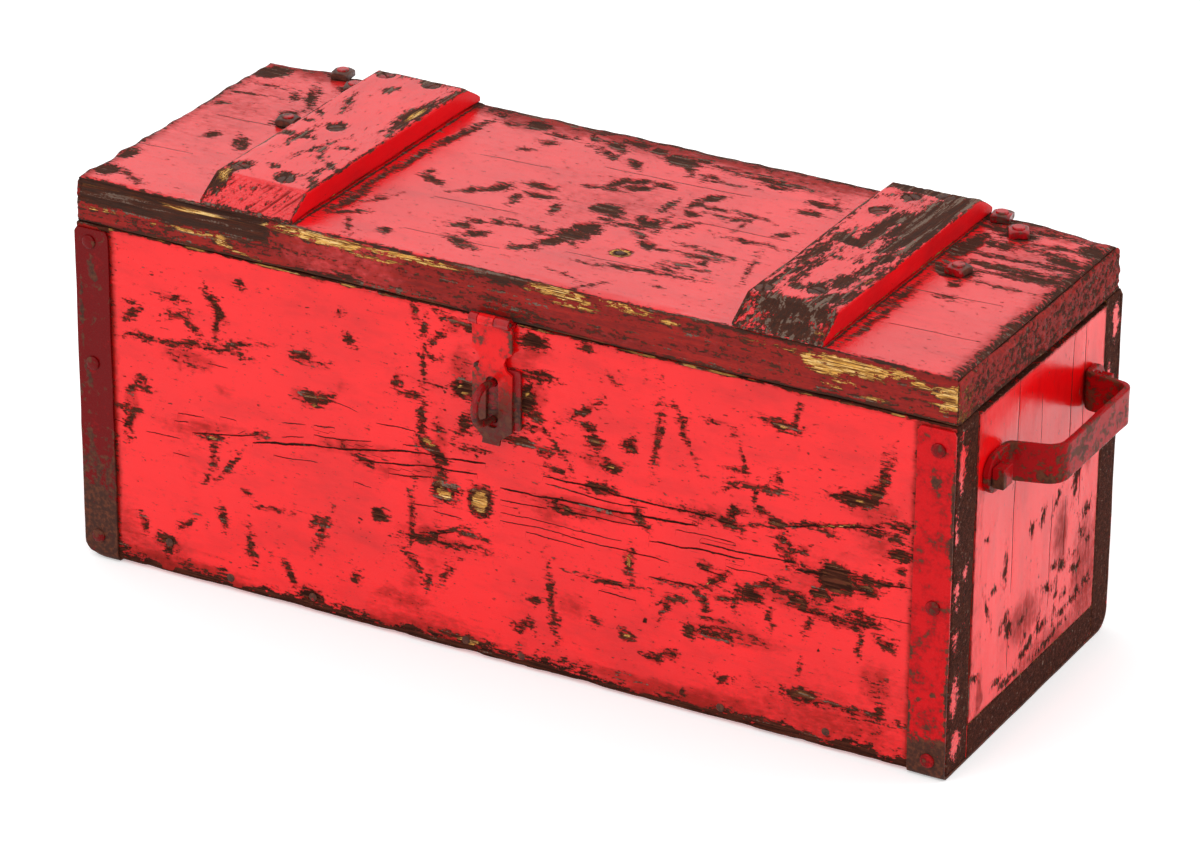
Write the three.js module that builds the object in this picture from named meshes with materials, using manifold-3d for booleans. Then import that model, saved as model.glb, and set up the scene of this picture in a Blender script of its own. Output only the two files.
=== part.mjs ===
// A small carpenter's tool chest: a nailed board body with iron corner straps and bowed lift handles,
// and a flush lid with two battens, two bolted strap hinges and a hasp that drops over a staple.
// Millimetres, +Z up. The front faces -Y and the chest stands on z = 0, centred on x and y.
import * as THREE from "three";
import { mergeVertices } from "three/addons/utils/BufferGeometryUtils.js";
import Module from "manifold-3d";

const wasm = await Module();
wasm.setup();

// Body boards
const chestLength = 710;
const chestDepth = 270;
const bodyHeight = 268;
const frontThickness = 34;
const backThickness = 27;
const bottomThickness = 26;
const endThickness = 26;
const endTopDrop = 3.5; // the end boards have shrunk below the rim
const boardArris = 2.2; // worn round along every edge

// Lid board
const lidThickness = 35.7;
const lidArris = 3.2;
const seatGap = 0.3; // between iron and wood, and between the lid and the rim

// Battens across the lid
const battenHeight = 18;
const battenEndSlopes = { front: 24, back: 17 }; // length of the sloped ends
const battenEndRise = 2.5; // what is left of the height below the slope
const battenArris = 3.4;
const battenSides = {
  left: {
    width: 77,
    inset: 146.6, // from the end of the lid to the middle of the batten
    // across, of half the batten's width; along, of the chest's depth
    screwShares: [
      [0.338, 0.127],
      [-0.712, 0.145],
      [-0.158, 0.498],
      [-0.709, 0.894],
      [0.327, 0.89],
    ],
  },
  right: {
    width: 70,
    inset: 138.1,
    screwShares: [
      [-0.817, 0.131],
      [0.146, 0.181],
      [-0.551, 0.719],
      [-0.277, 0.843],
      [0.346, 0.89],
    ],
  },
};

// Slotted wood screws of the battens
const screwHeadRadius = 6.2;
const screwShankRadius = 2.8;
const screwLength = 44;
const screwPointLength = 9;
const screwSlotWidth = 1.5;
const screwSlotDepth = 1.6;
const screwSlotRound = 0.4;
const screwSink = 0.5; // the head lies this far below the wood
const screwSides = 12;

// Corner straps and their nails
const strapWidth = 30;
const strapThickness = 2;
const strapBendRadius = 3.5;
const strapTopShare = 0.989; // of the body's height
const strapCornerCut = 3;
const nailHeadRadius = 5.5;
const nailHeadHeight = 2.6;
const nailHeadRim = 0.6;
const nailShankRadius = 2;
const nailLength = 32;
const nailPointLength = 8;
const nailEdgeShare = 0.56; // across the strap, from its inner edge
const nailSides = 12;
const strapNailShares = {
  // of the body's height
  left: [0.063, 0.59, 0.951],
  right: [0.045, 0.487, 0.931],
};

// Lift handles: a flat bar bent in plan, seen here as depth along the end and distance out from it
const handleBarHeight = 29;
const handleBarThickness = 5;
const handleTopDrop = 40; // from the body's rim
const handleReach = 40;
const handleFrontMargin = 7; // from the front board to the foot
const handleBackMargin = 10; // from the foot to the back board
const handleFrontFootRun = 35; // along the end, from the foot's tip to the corner of its leg
const handleFrontLegRun = 11;
const handleBackFootRun = 26.5;
const handleBackLegRun = 4.5;
const handleFootBend = 6;
const handleGripBend = 14;
const handleBackBend = 8;
const handleEndRadius = 13;
const handleBoltInsets = { front: 11, back: 13 }; // from the tip of each foot
const handleHeadSide = 15;
const handleHeadHeight = 9;
const handleHeadArris = 0.6;

// Bolts and square nuts
const boltRadius = 4.7;
const boltHoleGap = 0.35;
const boltTipLength = 0.8; // what stands out of the nut
const boltTipChamfer = 0.5;
const nutSide = 14.5;
const nutHeight = 6;
const nutCorner = 1;
const nutChamferDrop = 1.1;
const nutChamferRun = 2.2;
const boltSides = 12;
const nutSides = 24; // of the cone that chamfers its corners

// Strap hinges
const hingeInsets = { left: 82, right: 79.5 }; // from the end of the lid
const hingePinRadius = 3.2;
const hingeThickness = 3.5;
const hingeRootWidth = 46;
const hingeTipWidth = 26;
const hingeLidReach = 146; // from the pin to the tip under the lid
const hingeBodyReach = 92; // from the pin to the tip down the back
const hingeKnuckleShares = [0, 0.34, 0.66, 1];
const hingeBoltShares = [
  // across, of half the root's width; along, of the reach under the lid
  [-0.53, 0.115],
  [0.43, 0.25],
  [0.05, 0.8],
];
const hingeHeadRadius = 8;
const hingeHeadHeight = 4;
const hingeHeadRim = 1.3;
const hingeHeadRoom = 1;
const hingeNutTurns = { left: [0.1, 0.35, 0.05], right: [0.15, 0.5, -0.2] };

// Hasp, staple plate and staple
const haspCentre = -2.8;
const haspWidth = 32;
const haspThickness = 2.4;
const haspPinRadius = 1.5;
const haspStandoff = 3; // from the front board to the back of the plate
const haspDrop = 95.5; // from the pin to the lower edge
const haspKnuckleShares = [0, 0.22, 0.63, 1];
const haspLeafReach = 46;
const haspNeckDrop = 32.4; // from the pin to the middle of the side notches
const haspNotchRadius = 8.5;
const haspNotchOutset = 2;
const haspSlotWidth = 10;
const haspSlotTopDrop = 43.6;
const haspSlotBottomDrop = 83.4;
const haspSlotRound = 4.6;
const haspCornerRise = 11;
const haspTongueWidth = 14;
const haspTongueRise = 4;
const haspLipLength = 7;
const haspLipAngle = 0.32; // radians, turned out for the thumb
const haspLipBend = 6;
const staplePlateWidth = 38;
const staplePlateOffset = 2.6; // to the right of the hasp's middle
const staplePlateTopDrop = 36.8; // from the hasp's pin
const staplePlateBottomDrop = 82.8;
const staplePlateThickness = 2.4;
const staplePlateCorner = 2;
const stapleRodRadius = 2.8;
const stapleEyeRadius = 14; // to the middle of the rod
const stapleReach = 33; // from the front board to the outside of the eye
const stapleLegDepth = 29; // into the front board
const stapleDrop = 64.1; // from the hasp's pin
const stapleTilt = 12; // degrees up from square, so that the hasp clears it on its way
const stapleSides = 12;
const stapleBendSteps = 18;

// Rolled knuckles
const pinGap = 0.3;
const knuckleGap = 0.4; // between neighbours along the pin
const notchGap = 0.5; // round the neighbour's knuckle
const curlGap = 0.8; // where the roll's end meets its own leaf
const rollSteps = 9;
const pinSides = 12;
const pinDome = 0.8;

const arcSteps = 2;
const domeSteps = 3;
const sectionArrisShare = 1.5; // round of a board's section against the round of its ends
const bendSteps = 3;
const overrun = 5; // past what a cut goes through
const mergeDistance = 1e-4;
const leastStep = 0.01; // nearer points of a path count as one

const axisX = new THREE.Vector3(1, 0, 0);
const axisY = new THREE.Vector3(0, 1, 0);
const axisZ = new THREE.Vector3(0, 0, 1);

// Places that follow from the sizes above
const halfLength = chestLength / 2;
const lidBottom = bodyHeight + seatGap;
const lidTop = lidBottom + lidThickness;
const hingeRoll = hingePinRadius + pinGap + hingeThickness;
const hingeAxis = { y: chestDepth + seatGap + hingeRoll, z: lidBottom - seatGap - hingeRoll };
const haspRoll = haspPinRadius + pinGap + haspThickness;
const haspAxis = {
  y: -haspStandoff - haspRoll,
  z: lidBottom - seatGap - haspThickness + haspRoll,
};
const stapleMiddle = haspAxis.z - stapleDrop;
const staplePlateCentre = haspCentre + staplePlateOffset;
const hingeCentres = { left: hingeInsets.left - halfLength, right: halfLength - hingeInsets.right };
const handleTop = bodyHeight - handleTopDrop;
const handleMiddle = handleTop - handleBarHeight / 2;
const handleFootFront = frontThickness + handleFrontMargin;
const handleFootBack = chestDepth - backThickness - handleBackMargin;
const handleLegFront = handleFootFront + handleFrontFootRun;
const handleGripFront = handleLegFront + handleFrontLegRun;
const handleLegBack = handleFootBack - handleBackFootRun;
const handleGripBack = handleLegBack - handleBackLegRun;
const handleBoltPlaces = {
  front: handleFootFront + handleBoltInsets.front,
  back: handleFootBack - handleBoltInsets.back,
};
const strapFace = seatGap + strapThickness; // its outside, from the wood; the chest stands on it
const backReach = hingeAxis.y + hingeRoll;
const depthMiddle = (backReach - stapleReach) / 2;

// Paint on wood, paint on iron, and bare rusty iron
const paintedWood = () => new THREE.MeshStandardMaterial({ color: 0xc81a1c, roughness: 0.38 });
const wornWood = () => new THREE.MeshStandardMaterial({ color: 0xa8352c, roughness: 0.5 });
const paintedIron = () =>
  new THREE.MeshStandardMaterial({ color: 0x7c1d1b, roughness: 0.42, metalness: 0.3 });
const rustyIron = () =>
  new THREE.MeshStandardMaterial({ color: 0x4a2a22, roughness: 0.62, metalness: 0.6 });

// A three.js geometry as a solid that can be cut, and a cut solid as a geometry again
function solid(geometry) {
  const bare = geometry.clone();
  bare.deleteAttribute("normal");
  bare.deleteAttribute("uv");
  const merged = mergeVertices(bare, mergeDistance);
  return new wasm.Manifold(
    new wasm.Mesh({
      numProp: 3,
      vertProperties: merged.attributes.position.array,
      triVerts: new Uint32Array(merged.index.array),
    }),
  );
}

function toGeometry(body) {
  const mesh = body.getMesh();
  const geometry = new THREE.BufferGeometry();
  geometry.setAttribute("position", new THREE.BufferAttribute(mesh.vertProperties, 3));
  geometry.setIndex(new THREE.BufferAttribute(mesh.triVerts, 1));
  const faceted = geometry.toNonIndexed();
  faceted.computeVertexNormals();
  return faceted;
}

// An outline carried along one axis: drawn in (y, z) for x, in (x, z) for y and in (x, y) for z
function prism(axis, outline, from, to, arris = 0) {
  const geometry = new THREE.ExtrudeGeometry(outline, {
    depth: to - from - 2 * arris,
    bevelEnabled: arris > 0,
    bevelThickness: arris,
    bevelSize: arris,
    bevelOffset: -arris,
    bevelSegments: 1,
    curveSegments: arcSteps,
  });
  const turn = new THREE.Matrix4();
  if (axis === "x") turn.makeBasis(axisY, axisZ, axisX).setPosition(from + arris, 0, 0);
  if (axis === "y") turn.makeBasis(axisX, axisZ, axisY.clone().negate()).setPosition(0, to - arris, 0);
  if (axis === "z") turn.setPosition(0, 0, from + arris);
  return solid(geometry.applyMatrix4(turn));
}

// A board along x with all its edges rounded: the corners of its section are a little rounder than
// its ends, so that the round of the ends never closes on a point
function board(front, low, back, high, from, to, arris) {
  const section = roundedRectangle(front, low, back, high, arris * sectionArrisShare);
  return prism("x", section, from, to, arris);
}

function polygon(corners) {
  return new THREE.Shape(corners.map(([a, b]) => new THREE.Vector2(a, b)));
}

// A rectangle with round corners, from its low corner to its high one
function roundedRectangle(left, low, right, high, radius) {
  const outline = new THREE.Shape();
  outline.absarc(left + radius, low + radius, radius, Math.PI, 1.5 * Math.PI, false);
  outline.absarc(right - radius, low + radius, radius, -0.5 * Math.PI, 0, false);
  outline.absarc(right - radius, high - radius, radius, 0, 0.5 * Math.PI, false);
  outline.absarc(left + radius, high - radius, radius, 0.5 * Math.PI, Math.PI, false);
  return outline;
}

// A profile of [radius, height] pairs turned about z
function turned(profile, sides) {
  const points = profile.map(([radius, height]) => new THREE.Vector2(radius, height));
  const geometry = new THREE.LatheGeometry(points, sides);
  return solid(geometry.rotateX(Math.PI / 2));
}

// The profile of a low dome, from its rim at height `from` to its top at `to`
function dome(radius, from, to) {
  const points = [];
  for (let i = 0; i <= domeSteps; i += 1) {
    const angle = (i * Math.PI) / (2 * domeSteps);
    const share = i === domeSteps ? 0 : Math.cos(angle);
    points.push([radius * share, from + (to - from) * Math.sin(angle)]);
  }
  return points;
}

function rod(radius, from, to, sides) {
  return turned([[0, from], [radius, from], [radius, to], [0, to]], sides);
}

// A line through corner points [a, b, bend radius], with each corner bent to its radius
function bentPath(corners) {
  const path = new THREE.Path();
  const points = corners.map(([a, b]) => new THREE.Vector2(a, b));
  path.moveTo(points[0].x, points[0].y);
  for (let i = 1; i < corners.length - 1; i += 1) {
    const before = points[i].clone().sub(points[i - 1]).normalize();
    const after = points[i + 1].clone().sub(points[i]).normalize();
    const turn = Math.atan2(before.cross(after), before.dot(after));
    const radius = corners[i][2];
    const start = points[i].clone().addScaledVector(before, -radius * Math.tan(Math.abs(turn) / 2));
    const side = Math.sign(turn);
    const centre = new THREE.Vector2(-before.y, before.x).multiplyScalar(side * radius).add(start);
    const angle = Math.atan2(start.y - centre.y, start.x - centre.x);
    path.lineTo(start.x, start.y);
    path.absarc(centre.x, centre.y, radius, angle, angle + turn, turn < 0);
  }
  const last = points[points.length - 1];
  path.lineTo(last.x, last.y);
  const drawn = path.getPoints(bendSteps);
  return drawn.filter((point, i) => i === 0 || point.distanceTo(drawn[i - 1]) > leastStep);
}

// The outline of a strip of even thickness whose middle follows the points
function ribbon(points, thickness) {
  const offset = (point, i, distance) => {
    const before = point.clone().sub(points[Math.max(i - 1, 0)]);
    const after = points[Math.min(i + 1, points.length - 1)].clone().sub(point);
    if (i === 0) before.copy(after);
    if (i === points.length - 1) after.copy(before);
    const mean = before.normalize().clone().add(after.normalize()).normalize();
    const normal = new THREE.Vector2(-mean.y, mean.x);
    return normal.multiplyScalar(distance / mean.dot(after)).add(point);
  };
  const right = points.map((point, i) => offset(point, i, -thickness / 2));
  const left = points.map((point, i) => offset(point, i, thickness / 2));
  return new THREE.Shape([...right, ...left.reverse()]);
}

function addMesh(group, name, body, material) {
  const geometry = body.isBufferGeometry ? body : toGeometry(body);
  const mesh = new THREE.Mesh(geometry, material);
  mesh.name = name;
  group.add(mesh);
  return mesh;
}

// Turns a mesh so that its own y and z axes point the given ways
function aim(mesh, up, out) {
  const across = up.clone().cross(out);
  mesh.quaternion.setFromRotationMatrix(new THREE.Matrix4().makeBasis(across, up, out));
}

// Fasteners, each standing along z with its seat on z = 0

function screwProfile(gap) {
  const headDepth = screwHeadRadius - screwShankRadius;
  return [
    [0, -screwLength - gap],
    [screwShankRadius / 2 + gap, -screwLength - gap],
    [screwShankRadius + gap, screwPointLength - screwLength],
    [screwShankRadius + gap, -headDepth - gap],
    [screwHeadRadius + gap, -gap],
    [screwHeadRadius + gap, 0],
    [0, 0],
  ];
}

function screw() {
  const body = turned(screwProfile(0), screwSides);
  const slot = roundedRectangle(
    -screwSlotWidth / 2,
    -screwSlotDepth,
    screwSlotWidth / 2,
    screwSlotDepth,
    screwSlotRound,
  );
  return body.subtract(prism("y", slot, -2 * screwHeadRadius, 2 * screwHeadRadius));
}

// The hole of a screw whose head lies below the face at z = 0
function screwHole() {
  const profile = screwProfile(seatGap).map(([radius, height]) => [radius, height - screwSink]);
  const mouth = screwHeadRadius + seatGap;
  profile.splice(-2, 2, [mouth, screwSink], [0, screwSink]);
  return turned(profile, screwSides);
}

function nail() {
  return turned(
    [
      [0, -nailLength],
      [nailShankRadius, nailPointLength - nailLength],
      [nailShankRadius, 0],
      [nailHeadRadius, 0],
      ...dome(nailHeadRadius, nailHeadRim, nailHeadHeight),
    ],
    nailSides,
  );
}

function nailHole() {
  const radius = nailShankRadius + seatGap;
  return rod(radius, -nailLength - seatGap, overrun, nailSides);
}

function squareNut() {
  const half = nutSide / 2;
  const outline = roundedRectangle(-half, -half, half, half, nutCorner);
  const corner = half * Math.SQRT2;
  const crown = turned(
    [
      [0, -overrun],
      [corner, -overrun],
      [corner, nutHeight - nutChamferDrop],
      [corner - nutChamferRun, nutHeight],
      [0, nutHeight],
    ],
    nutSides,
  );
  const bore = rod(boltRadius + boltHoleGap, -overrun, nutHeight + overrun, boltSides);
  return prism("z", outline, 0, nutHeight).intersect(crown).subtract(bore);
}

// A bolt through work of the given grip, with its head below z = 0 and its nut above the work
function boltShank(grip) {
  const tip = grip + nutHeight + boltTipLength;
  const root = -hingeHeadHeight / 2; // inside the head
  return turned(
    [
      [0, root],
      [boltRadius, root],
      [boltRadius, tip - boltTipChamfer],
      [boltRadius - boltTipChamfer, tip],
      [0, tip],
    ],
    boltSides,
  );
}

function roundHeadBolt(grip) {
  const crown = dome(hingeHeadRadius, -hingeHeadRim, -hingeHeadHeight).reverse();
  const head = turned([...crown, [hingeHeadRadius, 0], [0, 0]], boltSides);
  return head.add(boltShank(grip));
}

function squareHeadBolt(grip) {
  const half = handleHeadSide / 2;
  const outline = roundedRectangle(-half, -half, half, half, nutCorner);
  return prism("z", outline, -handleHeadHeight, 0, handleHeadArris).add(boltShank(grip));
}

function boltHole(from, to) {
  return rod(boltRadius + boltHoleGap, from, to, boltSides);
}

// The pieces of each body go in a group of its own
const carcass = new THREE.Group();
const lid = new THREE.Group();
const hasp = new THREE.Group();

// Where things stand on the chest
const sideSigns = { left: -1, right: 1 };
const sides = Object.keys(sideSigns);
const strapNailX = halfLength - strapWidth + strapWidth * nailEdgeShare;
const handleBoltY = Object.values(handleBoltPlaces);
const handleGrip = handleBarThickness + seatGap + endThickness;

function battenCentre(side) {
  return sideSigns[side] * (halfLength - battenSides[side].inset);
}

function battenScrewPlaces(side) {
  const { width, screwShares } = battenSides[side];
  return screwShares.map(([across, along]) => [
    battenCentre(side) + (across * width) / 2,
    along * chestDepth,
  ]);
}

function hingeBoltPlaces(side) {
  return hingeBoltShares.map(([across, along]) => [
    hingeCentres[side] + (across * hingeRootWidth) / 2,
    hingeAxis.y - along * hingeLidReach,
  ]);
}

// Hinge leaves. In a leaf's own frame x runs along the pin, y points at the pin, which stands over
// the end of the leaf, and z points from the seat of the leaf to the side that it is rolled to.

// The strip of a leaf: straight, then rolled round the pin
function rolledStrip(reach, thickness, pinRadius, width, lip) {
  const roll = pinRadius + pinGap + thickness;
  const middle = thickness / 2;
  const points = lip
    ? bentPath([
        [-reach, middle + lip.length * Math.tan(lip.angle)],
        [-reach + lip.length, middle, lip.bend],
        [0, middle],
      ])
    : [new THREE.Vector2(-reach, middle), new THREE.Vector2(0, middle)];
  const end = Math.PI + Math.asin(1 - thickness / roll) - curlGap / roll;
  for (let i = 1; i <= rollSteps; i += 1) {
    const angle = -Math.PI / 2 + ((end + Math.PI / 2) * i) / rollSteps;
    const radius = roll - middle;
    points.push(new THREE.Vector2(radius * Math.cos(angle), roll + radius * Math.sin(angle)));
  }
  return prism("x", ribbon(points, thickness), -width / 2, width / 2);
}

// Room for the neighbour's knuckles: `own` is the first of every second span that this leaf keeps
function knuckleRoom(shares, own, width, roll, mirrored) {
  const cuts = [];
  for (let i = 1 - own; i < shares.length - 1; i += 2) {
    let from = (shares[i] - 0.5) * width - knuckleGap / 2;
    let to = (shares[i + 1] - 0.5) * width + knuckleGap / 2;
    if (i === 0) from -= overrun;
    if (i === shares.length - 2) to += overrun;
    const [left, right] = mirrored ? [-to, -from] : [from, to];
    const outline = polygon([
      [left, -roll - notchGap],
      [right, -roll - notchGap],
      [right, 2 * roll],
      [left, 2 * roll],
    ]);
    cuts.push(prism("z", outline, -overrun, 2 * roll + overrun));
  }
  return cuts;
}

// The tapered outline of a strap hinge's leaf, with a round tip
function strapOutline(reach, roll) {
  const root = hingeRootWidth / 2;
  const tip = hingeTipWidth / 2;
  const outline = new THREE.Shape();
  outline.moveTo(root, 2 * roll);
  outline.lineTo(-root, 2 * roll);
  outline.lineTo(-root, -2 * roll);
  outline.absarc(0, tip - reach, tip, Math.PI, 2 * Math.PI, false);
  outline.lineTo(root, -2 * roll);
  return outline;
}

function strapLeaf(reach, own) {
  const strip = rolledStrip(reach, hingeThickness, hingePinRadius, hingeRootWidth);
  const plan = prism("z", strapOutline(reach, hingeRoll), -overrun, 2 * hingeRoll + overrun);
  let leaf = strip.intersect(plan);
  for (const cut of knuckleRoom(hingeKnuckleShares, own, hingeRootWidth, hingeRoll, false)) {
    leaf = leaf.subtract(cut);
  }
  return leaf;
}

// The part of a pin past its leaf is a low dome
function pin(radius, width) {
  const half = width / 2;
  const low = dome(radius, -half, -half - pinDome).reverse();
  return turned([...low, ...dome(radius, half, half + pinDome)], pinSides);
}

// The two holes of the staple's legs, which lean as the staple does
function bored(body, depth) {
  let left = body;
  for (const leg of [-stapleEyeRadius, stapleEyeRadius]) {
    const hole = rod(stapleRodRadius + seatGap, -2 * overrun, depth, boltSides).rotate([-90, 0, 0]);
    const leaning = hole.translate([0, 0, leg]).rotate([-stapleTilt, 0, 0]);
    left = left.subtract(leaning.translate([haspCentre, 0, stapleMiddle]));
  }
  return left;
}

// Boards of the body

function frontBoard() {
  let body = board(0, 0, frontThickness, bodyHeight, -halfLength, halfLength, boardArris);
  const half = haspWidth / 2 + seatGap;
  const gainFloor = lidBottom - 2 * seatGap - haspThickness;
  const gain = roundedRectangle(
    haspCentre - half,
    -overrun,
    haspCentre + half,
    haspAxis.y + haspLeafReach + seatGap,
    staplePlateCorner,
  );
  body = body.subtract(prism("z", gain, gainFloor, bodyHeight + overrun));
  for (const side of sides) {
    for (const share of strapNailShares[side]) {
      const hole = nailHole().rotate([90, 0, 0]);
      body = body.subtract(hole.translate([sideSigns[side] * strapNailX, 0, share * bodyHeight]));
    }
  }
  return bored(body, stapleLegDepth + seatGap);
}

// The back board's rim is let down for the straps and bored for the heads of their bolts
function backBoard() {
  const inside = chestDepth - backThickness;
  let body = board(inside, 0, chestDepth, bodyHeight, -halfLength, halfLength, boardArris);
  const gainFloor = lidBottom - 2 * seatGap - hingeThickness;
  const half = hingeRootWidth / 2 + seatGap;
  for (const side of sides) {
    const centre = hingeCentres[side];
    const gain = polygon([
      [centre - half, inside - overrun],
      [centre + half, inside - overrun],
      [centre + half, chestDepth + overrun],
      [centre - half, chestDepth + overrun],
    ]);
    body = body.subtract(prism("z", gain, gainFloor, bodyHeight + overrun));
    for (const [x, y] of hingeBoltPlaces(side)) {
      const room = rod(
        hingeHeadRadius + hingeHeadRoom,
        gainFloor - hingeHeadHeight - seatGap,
        bodyHeight,
        boltSides,
      );
      body = body.subtract(room.translate([x, y, 0]));
    }
  }
  return body;
}

function endBoard(side) {
  let body = board(
    frontThickness,
    bottomThickness,
    chestDepth - backThickness,
    bodyHeight - endTopDrop,
    halfLength - endThickness,
    halfLength,
    boardArris / 2,
  );
  for (const y of handleBoltY) {
    const hole = boltHole(0, endThickness + 2 * overrun).rotate([0, 90, 0]);
    body = body.subtract(hole.translate([halfLength - endThickness - overrun, y, handleMiddle]));
  }
  return side === "left" ? body.mirror([1, 0, 0]) : body;
}

function bottomBoard() {
  const inside = chestDepth - backThickness;
  const arris = boardArris / 2;
  return board(frontThickness, 0, inside, bottomThickness, -halfLength, halfLength, arris);
}

// Iron band up the front, under the bottom and up the back, at one end of the body
function cornerStrap(side) {
  const middle = seatGap + strapThickness / 2;
  const top = strapTopShare * bodyHeight;
  const points = bentPath([
    [-middle, top],
    [-middle, -middle, strapBendRadius],
    [chestDepth + middle, -middle, strapBendRadius],
    [chestDepth + middle, top],
  ]);
  const band = prism("x", ribbon(points, strapThickness), halfLength - strapWidth, halfLength);
  const face = polygon([
    [halfLength - strapWidth, -overrun],
    [halfLength, -overrun],
    [halfLength, top - strapCornerCut],
    [halfLength - strapCornerCut, top],
    [halfLength - strapWidth + strapCornerCut, top],
    [halfLength - strapWidth, top - strapCornerCut],
  ]);
  let strap = band.intersect(prism("y", face, -overrun, chestDepth + overrun));
  for (const share of strapNailShares[side]) {
    const hole = nailHole().rotate([90, 0, 0]);
    strap = strap.subtract(hole.translate([strapNailX, 0, share * bodyHeight]));
  }
  return side === "left" ? strap.mirror([1, 0, 0]) : strap;
}

// Lift handle: the bent bar, with the ends of its feet rounded
function liftHandle(side) {
  const footX = halfLength + seatGap + handleBarThickness / 2;
  const gripX = halfLength + handleReach - handleBarThickness / 2;
  const points = bentPath([
    [footX, handleFootFront],
    [footX, handleLegFront, handleFootBend],
    [gripX, handleGripFront, handleGripBend],
    [gripX, handleGripBack, handleBackBend],
    [footX, handleLegBack, handleFootBend],
    [footX, handleFootBack],
  ]);
  const bar = prism("z", ribbon(points, handleBarThickness), handleTop - handleBarHeight, handleTop);
  const face = roundedRectangle(
    handleFootFront,
    handleTop - handleBarHeight,
    handleFootBack,
    handleTop,
    handleEndRadius,
  );
  const reach = halfLength + handleReach + overrun;
  let handle = bar.intersect(prism("x", face, halfLength - overrun, reach));
  for (const y of handleBoltY) {
    const hole = boltHole(0, 2 * handleBarThickness).rotate([0, 90, 0]);
    handle = handle.subtract(hole.translate([halfLength, y, handleMiddle]));
  }
  return side === "left" ? handle.mirror([1, 0, 0]) : handle;
}

function buildBody() {
  addMesh(carcass, "front_board", frontBoard(), paintedWood());
  addMesh(carcass, "back_board", backBoard(), paintedWood());
  addMesh(carcass, "bottom_board", bottomBoard(), wornWood());
  for (const side of sides) {
    addMesh(carcass, `end_board_${side}`, endBoard(side), paintedWood());
    addMesh(carcass, `corner_strap_${side}`, cornerStrap(side), paintedIron());
    strapNailShares[side].forEach((share, i) => {
      const mesh = addMesh(carcass, `strap_nail_${side}_${i + 1}`, nail(), rustyIron());
      mesh.rotation.x = Math.PI / 2;
      mesh.position.x = sideSigns[side] * strapNailX;
      mesh.position.y = -strapFace - seatGap;
      mesh.position.z = share * bodyHeight;
    });
  }
}

function buildHandles() {
  for (const side of sides) {
    const sign = sideSigns[side];
    addMesh(carcass, `handle_${side}`, liftHandle(side), paintedIron());
    for (const [place, y] of Object.entries(handleBoltPlaces)) {
      const bolt = addMesh(
        carcass,
        `handle_bolt_${side}_${place}`,
        squareHeadBolt(handleGrip + seatGap),
        rustyIron(),
      );
      bolt.rotation.y = (-sign * Math.PI) / 2;
      bolt.position.x = sign * (halfLength + handleBarThickness + 2 * seatGap);
      bolt.position.y = y;
      bolt.position.z = handleMiddle;
      const nut = addMesh(carcass, `handle_nut_${side}_${place}`, squareNut(), rustyIron());
      nut.rotation.y = (-sign * Math.PI) / 2;
      nut.position.x = sign * (halfLength - endThickness - seatGap);
      nut.position.y = y;
      nut.position.z = handleMiddle;
    }
  }
}

// Lid board, bored for the hinge bolts and the batten screws
function lidBoard() {
  let body = board(0, lidBottom, chestDepth, lidTop, -halfLength, halfLength, lidArris);
  for (const side of sides) {
    for (const [x, y] of hingeBoltPlaces(side)) {
      const hole = boltHole(lidBottom - overrun, lidTop + overrun);
      body = body.subtract(hole.translate([x, y, 0]));
    }
    for (const [x, y] of battenScrewPlaces(side)) {
      body = body.subtract(screwHole().translate([x, y, lidTop + battenHeight]));
    }
  }
  return body;
}

// A batten is its side view, with sloped ends, cut to its end view, with rounded long edges
function batten(side) {
  const { width } = battenSides[side];
  const low = battenCentre(side) - width / 2;
  const high = battenCentre(side) + width / 2;
  const top = lidTop + battenHeight;
  const sideView = polygon([
    [0, lidTop],
    [chestDepth, lidTop],
    [chestDepth, lidTop + battenEndRise],
    [chestDepth - battenEndSlopes.back, top],
    [battenEndSlopes.front, top],
    [0, lidTop + battenEndRise],
  ]);
  const endView = new THREE.Shape();
  endView.moveTo(low, lidTop);
  endView.lineTo(high, lidTop);
  endView.absarc(high - battenArris, top - battenArris, battenArris, 0, Math.PI / 2, false);
  endView.absarc(low + battenArris, top - battenArris, battenArris, Math.PI / 2, Math.PI, false);
  let body = prism("x", sideView, low, high);
  body = body.intersect(prism("y", endView, -overrun, chestDepth + overrun));
  for (const [x, y] of battenScrewPlaces(side)) {
    body = body.subtract(screwHole().translate([x, y, top]));
  }
  return body;
}

function buildLid() {
  addMesh(lid, "lid_board", lidBoard(), paintedWood());
  const screwTop = lidTop + battenHeight - screwSink;
  for (const side of sides) {
    addMesh(lid, `batten_${side}`, batten(side), paintedWood());
    battenScrewPlaces(side).forEach(([x, y], i) => {
      const mesh = addMesh(lid, `batten_screw_${side}_${i + 1}`, screw(), rustyIron());
      mesh.position.set(x, y, screwTop);
    });
  }
}

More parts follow.
